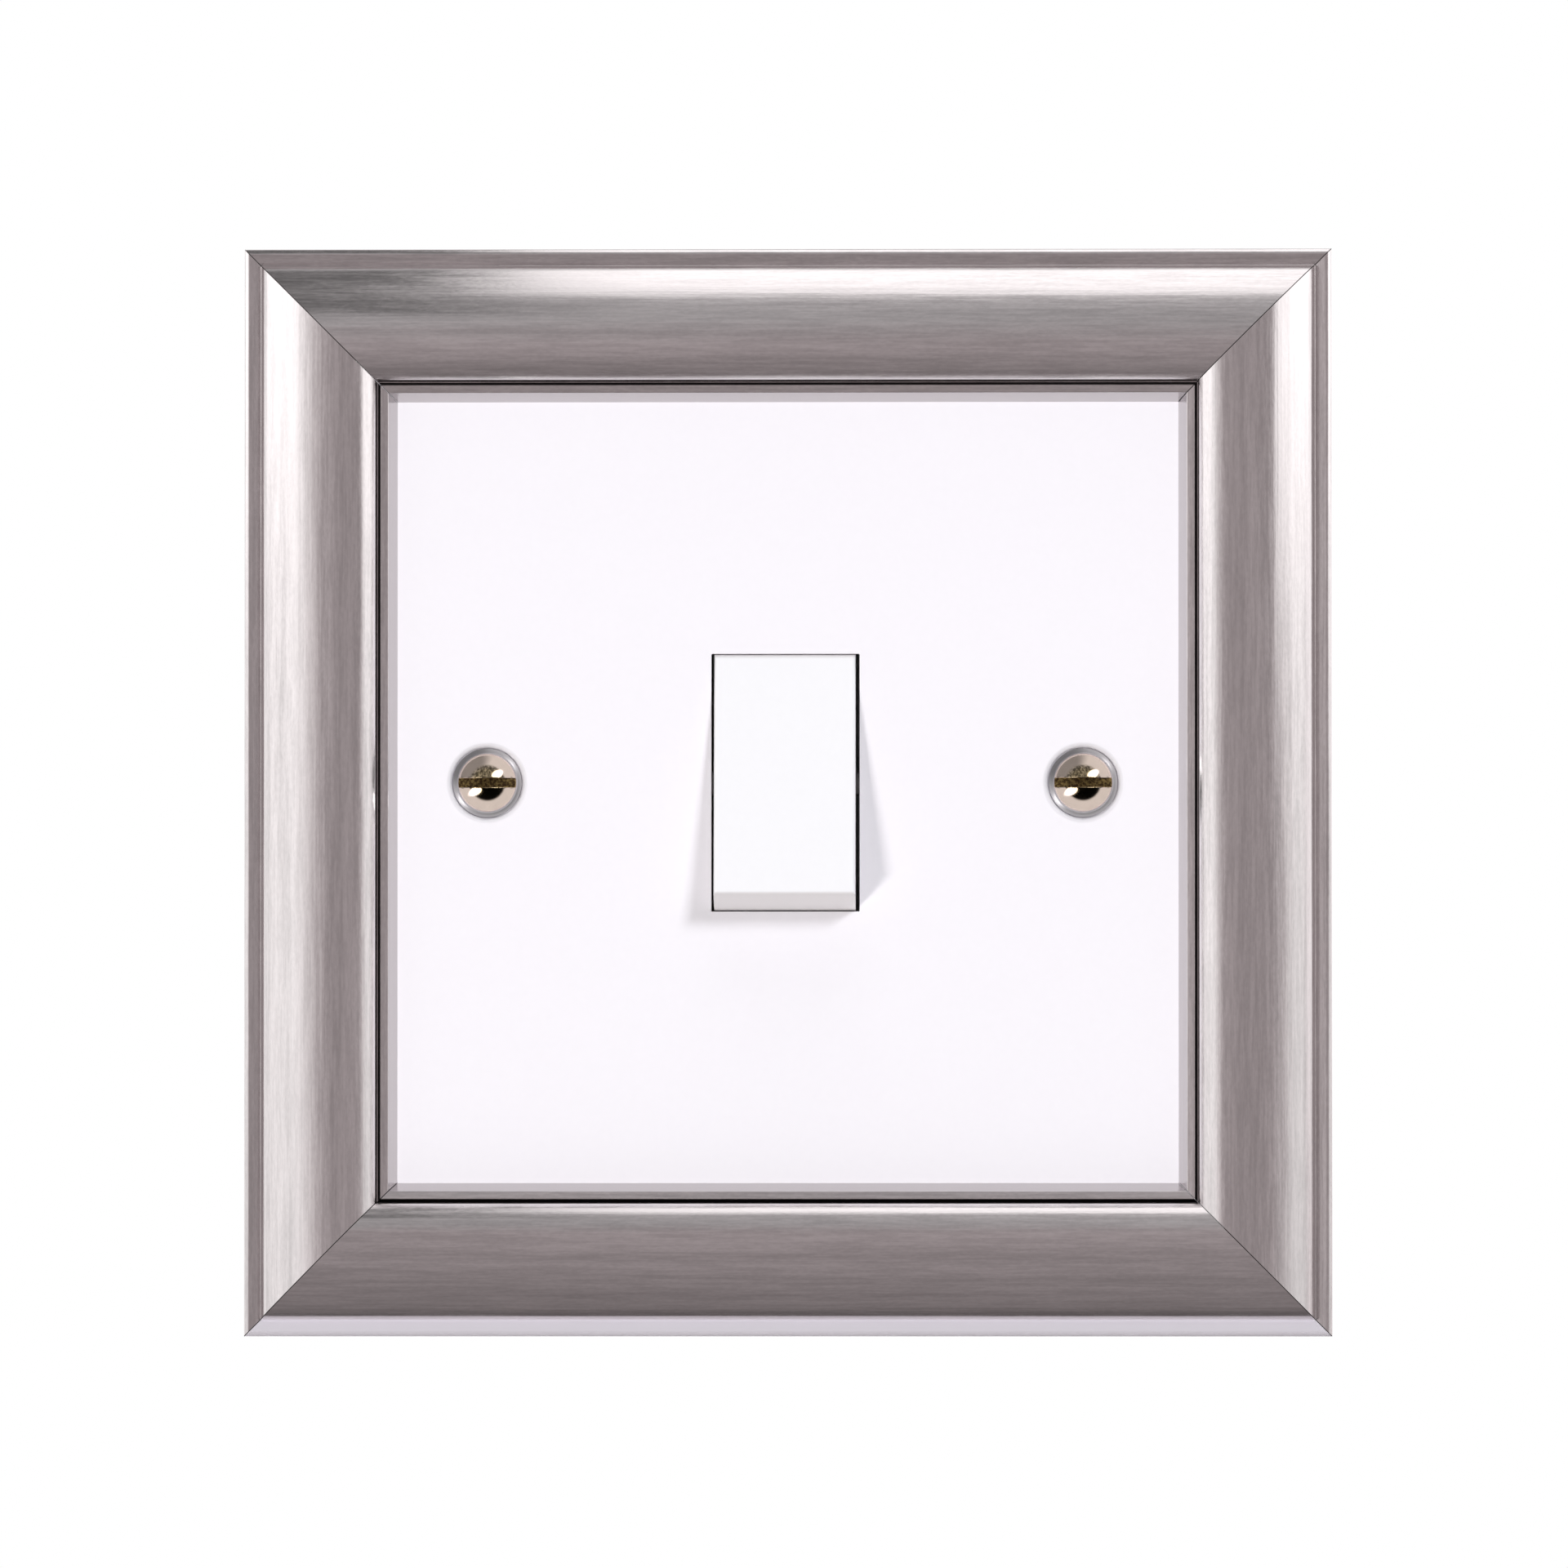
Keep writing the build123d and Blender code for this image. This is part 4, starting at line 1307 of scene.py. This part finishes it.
class Mechanism:
    """The CAD nodes that keep their own shape, each dressed in its slot's finish."""

    FINISHES: tuple[Finish, ...] = (
        RockerMoulding("rocker_white", (0.92, 0.91, 0.935), 0.34, coat=0.1),
        Moulding("module_moulding", (0.84, 0.84, 0.815), 0.5, skin_height=0.004 * MM),
        Moulding("plunger_plastic", (0.88, 0.86, 0.76), 0.38),
        PlatedMetal("zinc_steel", (0.64, 0.655, 0.675), 0.2, stain=(0.5, 0.5, 0.53)),
        PlatedMetal("spring_steel", (0.52, 0.52, 0.53), 0.19, stain=(0.4, 0.4, 0.4)),
        PlatedMetal("brass", (0.77, 0.6, 0.3), 0.35, stain=(0.6, 0.43, 0.19)),
        PlatedMetal("copper", (0.79, 0.46, 0.31), 0.35, stain=(0.62, 0.34, 0.22)),
        PlatedMetal("silver", (0.88, 0.875, 0.85), 0.19, stain=(0.7, 0.69, 0.66)),
        Foam("foam", (0.8, 0.8, 0.78), 0.9),
    )

    def build(self) -> None:
        """Give each node that is still shown the material of its record slot."""
        made = {finish.name: finish.material() for finish in self.FINISHES}
        slots = {part["node"]: part["material_slot"] for part in frame["record"]["subparts"]}
        for name, node in sorted(frame["nodes"].items()):
            if node.hide_render:
                continue
            for place in node.material_slots:
                place.material = made[slots[name]]
            log.info("%s dressed as %s", name, slots[name])


@dataclass
class Glow:
    """What a sphere or card of the studio sends back to polished faces."""

    strength: Signal | Number
    cover: Signal | Number = 1.0
    colour: Signal | Colour = (1.0, 0.985, 0.985)


@dataclass(frozen=True)
class SoftBox:
    """A lamp that faces the object, and that polished faces don't show.

    Its bearing is in degrees from the front towards the viewer's right, and its elevation in
    degrees above the horizon.
    """

    name: str
    bearing: float
    elevation: float
    size: tuple[float, float]
    watts: float
    tint: Colour = (1.0, 1.0, 1.0)

    def hang(self, distance: float) -> None:
        """Hang the lamp at a distance from the object.

        Args:
            distance: The distance.
        """
        light = bpy.data.lights.new(self.name, "AREA")
        light.shape = "RECTANGLE"
        light.size, light.size_y = self.size
        light.energy = self.watts
        light.color = self.tint
        lamp = bpy.data.objects.new(self.name, light)
        bpy.context.scene.collection.objects.link(lamp)
        a, e = math.radians(self.bearing), math.radians(self.elevation)
        way = Vector((math.sin(a) * math.cos(e), -math.cos(a) * math.cos(e), math.sin(e)))
        lamp.location = way * distance
        lamp.visible_glossy = False
        lamp.visible_camera = False
        lamp.rotation_euler = way.to_track_quat("Z", "Y").to_euler()


@dataclass
class Studio:
    """Camera, lamps, floor, background, and the grey flag that metal sees in front of it."""

    camera_at: Vector = field(default_factory=lambda: Vector((0.04, -2.0, -0.052)))
    aim: Vector = field(default_factory=lambda: Vector((-0.0001, -0.007, -0.00014)))
    view_width: float = 0.1586
    sensor: float = 36.0
    floor_height: float = -1.1
    floor_size: float = 6.0
    fill: float = 0.24
    tent_r: float = 3.9 * MM
    tent_depth: float = 7.2 * MM
    flag_r: float = 3.0
    lamp_distance: float = 1.6
    BOXES: ClassVar[tuple[SoftBox, ...]] = (
        SoftBox("left_box", -44, -25, (0.3, 0.3), 13.8, (1.02, 1.0, 0.98)),
        SoftBox("right_box", 40, 33, (0.36, 0.36), 14.2, (0.98, 1.0, 1.03)),
        SoftBox("top_box", 0, 86, (1.2, 1.0), 9.0),
        SoftBox("back_box", 150, 30, (1.0, 1.0), 14.0),
    )

    def camera(self) -> None:
        """Stand the camera where the photograph was taken from."""
        data = bpy.data.cameras.new("photo_camera")
        data.sensor_width = self.sensor
        gap = self.camera_at - self.aim
        data.lens = self.sensor * gap.length / self.view_width
        camera = bpy.data.objects.new("photo_camera", data)
        bpy.context.scene.collection.objects.link(camera)
        camera.location = self.camera_at
        camera.rotation_euler = gap.to_track_quat("Z", "Y").to_euler()
        bpy.context.scene.camera = camera

    def world(self) -> None:
        """White behind for the camera and for metal, and a plain fill for the rest."""
        world = bpy.data.worlds.new("studio")
        bpy.context.scene.world = world
        world.use_nodes = True
        graph = Graph(world.node_tree)
        path = graph.node("ShaderNodeLightPath", {}, {})
        rays = ("Is Camera Ray", "Is Glossy Ray", "Is Transmission Ray")
        seen = sum(Signal(graph, path.outputs[ray]) for ray in rays)
        level = self.fill + seen.step(0.0, 1.0) * (1.0 - self.fill)
        white = (1.0, 1.0, 1.0, 1.0)
        back = graph.add("ShaderNodeBackground", {}, {"Color": white, "Strength": level})
        graph.node("ShaderNodeOutputWorld", {}, {"Surface": back})

    def floor(self) -> None:
        """Lay a plain pale floor below the object, out of the photograph's view."""
        Bench.clear()
        bpy.ops.mesh.primitive_plane_add(size=self.floor_size, location=(0, 0, self.floor_height))
        floor = bpy.context.object
        Bench.freeze(floor)
        floor.name = "floor"
        floor.data.materials.append(Paper("floor_paper", (0.87, 0.87, 0.87), 0.9).material())
        floor.visible_glossy = False

    @staticmethod
    def mirrored(thing: bpy.types.Object, name: str, paint: Callable[[Graph], Glow]) -> None:
        """Make a thing a glow that only polished faces see.

        Args:
            thing: The sphere or card, with its place in its mesh.
            name: Its name.
            paint: Gives the glow.
        """
        def glowing(graph: Graph) -> None:
            """Mix the glow with nothing, by its cover.

            Args:
                graph: The material's nodes.
            """
            glow = paint(graph)
            colour = glow.colour if isinstance(glow.colour, Signal) else (*glow.colour, 1.0)
            bright = graph.add("ShaderNodeEmission", {}, {"Color": colour, "Strength": glow.strength})
            clear = graph.add("ShaderNodeBsdfTransparent", {}, {})
            mixed = graph.add("ShaderNodeMixShader", {}, {0: glow.cover, 1: clear, 2: bright})
            graph.node("ShaderNodeOutputMaterial", {}, {"Surface": mixed})

        Bench.freeze(thing)
        thing.name = name
        thing.data.materials.append(painted(name, glowing))
        thing.visible_camera = False
        thing.visible_diffuse = False
        thing.visible_transmission = False
        thing.visible_shadow = False

    @staticmethod
    def turn_step(angle: Signal, low: float, high: float) -> Signal:
        """A soft step of an angle between two angles in degrees."""
        return angle.step(math.radians(low), math.radians(high))

    def surroundings(self, graph: Graph) -> Glow:
        """Warm greys ahead, darker below, and light at both sides and behind.

        Args:
            graph: The material's nodes.

        Returns:
            The glow.
        """
        x, y, z = graph.axes()
        ahead = y * -1
        azimuth, pitch = x.angle_from(ahead), z.angle_from(ahead)
        beside = abs(z / self.flag_r).step(0.75, 0.4)
        left = beside * self.turn_step(azimuth, -16, -54)
        right = beside * self.turn_step(azimuth, 47, 70) * self.turn_step(azimuth, 106, 80)
        behind = self.turn_step(abs(pitch), 135, 165)
        greys = 0.345 + pitch * 0.1 + behind * 0.6
        level = greys * (1 - left - right) + left * 1.05 + right * 0.95
        ahead_tint = graph.blend(self.turn_step(pitch, 5, 35), (1.06, 0.955, 0.965), (1.0, 0.98, 0.985))
        return Glow(level, 1.0, graph.blend(left + right, ahead_tint, (1.0, 0.99, 0.985)))

    def flags(self) -> None:
        """Hang the sphere and the three bright cards that the moulding mirrors."""
        Bench.clear()
        bpy.ops.mesh.primitive_uv_sphere_add(segments=96, ring_count=48, radius=self.flag_r)
        self.mirrored(bpy.context.object, "surroundings", self.surroundings)

        def above(graph: Graph) -> Glow:
            """Bright above, and a wider dark stretch by the left corner.

            Args:
                graph: The material's nodes.

            Returns:
                The glow.
            """
            x, y, _ = graph.axes()
            bright = x.step(-0.037, -0.031)
            front = y.step(-0.24, -0.18) * (1 - bright) + y.step(-0.125, -0.068) * bright
            return Glow(0.14 + bright * 1.3, front * y.step(0.1, 0.05))

        def beside(graph: Graph) -> Glow:
            """Brighter beside the upper half, and a little darker beside the lower.

            Args:
                graph: The material's nodes.

            Returns:
                The glow.
            """
            _, y, z = graph.axes()
            upper, lower = z.step(-0.01, 0.06), z.step(-0.015, -0.07)
            return Glow(0.62 + upper * 0.95, (upper + lower * 0.45) * y.step(-0.34, -0.24))

        for name, place, size, turn, paint in (
            ("card_above", (0.15, -0.1, 0.2), (0.5, 0.5, 1), (0, 0, 0), above),
            ("card_left", (-0.35, -0.15, 0.15), (0.5, 0.5, 1), (0, math.pi / 2, 0), beside),
            ("card_right", (0.35, -0.15, 0.15), (0.5, 0.5, 1), (0, math.pi / 2, 0), beside),
        ):
            Bench.clear()
            bpy.ops.mesh.primitive_plane_add(size=1, location=place, rotation=turn)
            bpy.context.object.scale = size
            self.mirrored(bpy.context.object, name, paint)

    def tents(self) -> None:
        """Put a small tent over each fixing screw, which its dome mirrors."""
        for side, lathe in zip(("left", "right"), FIXINGS):
            centre = lathe.at(0, -self.tent_depth)

            def inside(graph: Graph, centre: Vector = centre) -> Glow:
                """Warm all round, dark in the middle, with two bright windows.

                Args:
                    graph: The material's nodes.
                    centre: The tent's middle.

                Returns:
                    The glow.
                """
                x, _, z = graph.axes()
                x, z = (x - centre.x) / self.tent_r, (z - centre.z) / self.tent_r
                reach = x.reach(z)
                middle = reach.step(0.93, 0.87)
                below = z.step(-0.1, -0.16)
                grit = graph.noise(2600.0, 3.0, 0.7).step(0.47, 0.6)
                level = 0.72 - (z - x).step(0.7, 1.25) * 0.45
                level = level * (1 - middle) + middle * (0.06 + grit * 0.35) * (1 - below)
                windows = self.window(x - 0.52, z - 0.46) + self.window(x + 0.6, z + 0.42)
                return Glow(level * (1 - windows) + windows * 3.0)

            Bench.clear()
            bpy.ops.mesh.primitive_uv_sphere_add(
                segments=48, ring_count=24, radius=self.tent_r, location=centre)
            self.mirrored(bpy.context.object, "tent_" + side, inside)

    @staticmethod
    def window(x: Signal, z: Signal) -> Signal:
        """A soft bright patch about a point of a tent, from 0 to 1."""
        return (x * x + z * z * 1.3).step(0.075, 0.045)

    def build(self) -> None:
        """Set up the whole studio."""
        bpy.context.scene.view_settings.view_transform = "Standard"
        self.camera()
        self.world()
        self.floor()
        self.flags()
        self.tents()
        for box in self.BOXES:
            box.hang(self.lamp_distance)


def main() -> None:
    """Dress the switch and set up the studio."""
    logging.basicConfig(level=logging.INFO, format="%(name)s: %(message)s")
    Bench.clear()
    Surround().build()
    PlateMoulding().build()
    plating = ScrewPlating("screw_nickel", (0.88, 0.74, 0.65), 0.12).material()
    for side in ("left", "right"):
        FixingScrew(side).build(plating)
    brass = PlatedMetal("clamp_brass", (0.8, 0.68, 0.42), 0.22, stain=(0.66, 0.51, 0.27)).material()
    for terminal in ("common", "l1", "l2"):
        ClampScrew(terminal).build(brass)
    Mechanism().build()
    Studio().build()


if __name__ == "__main__":
    main()
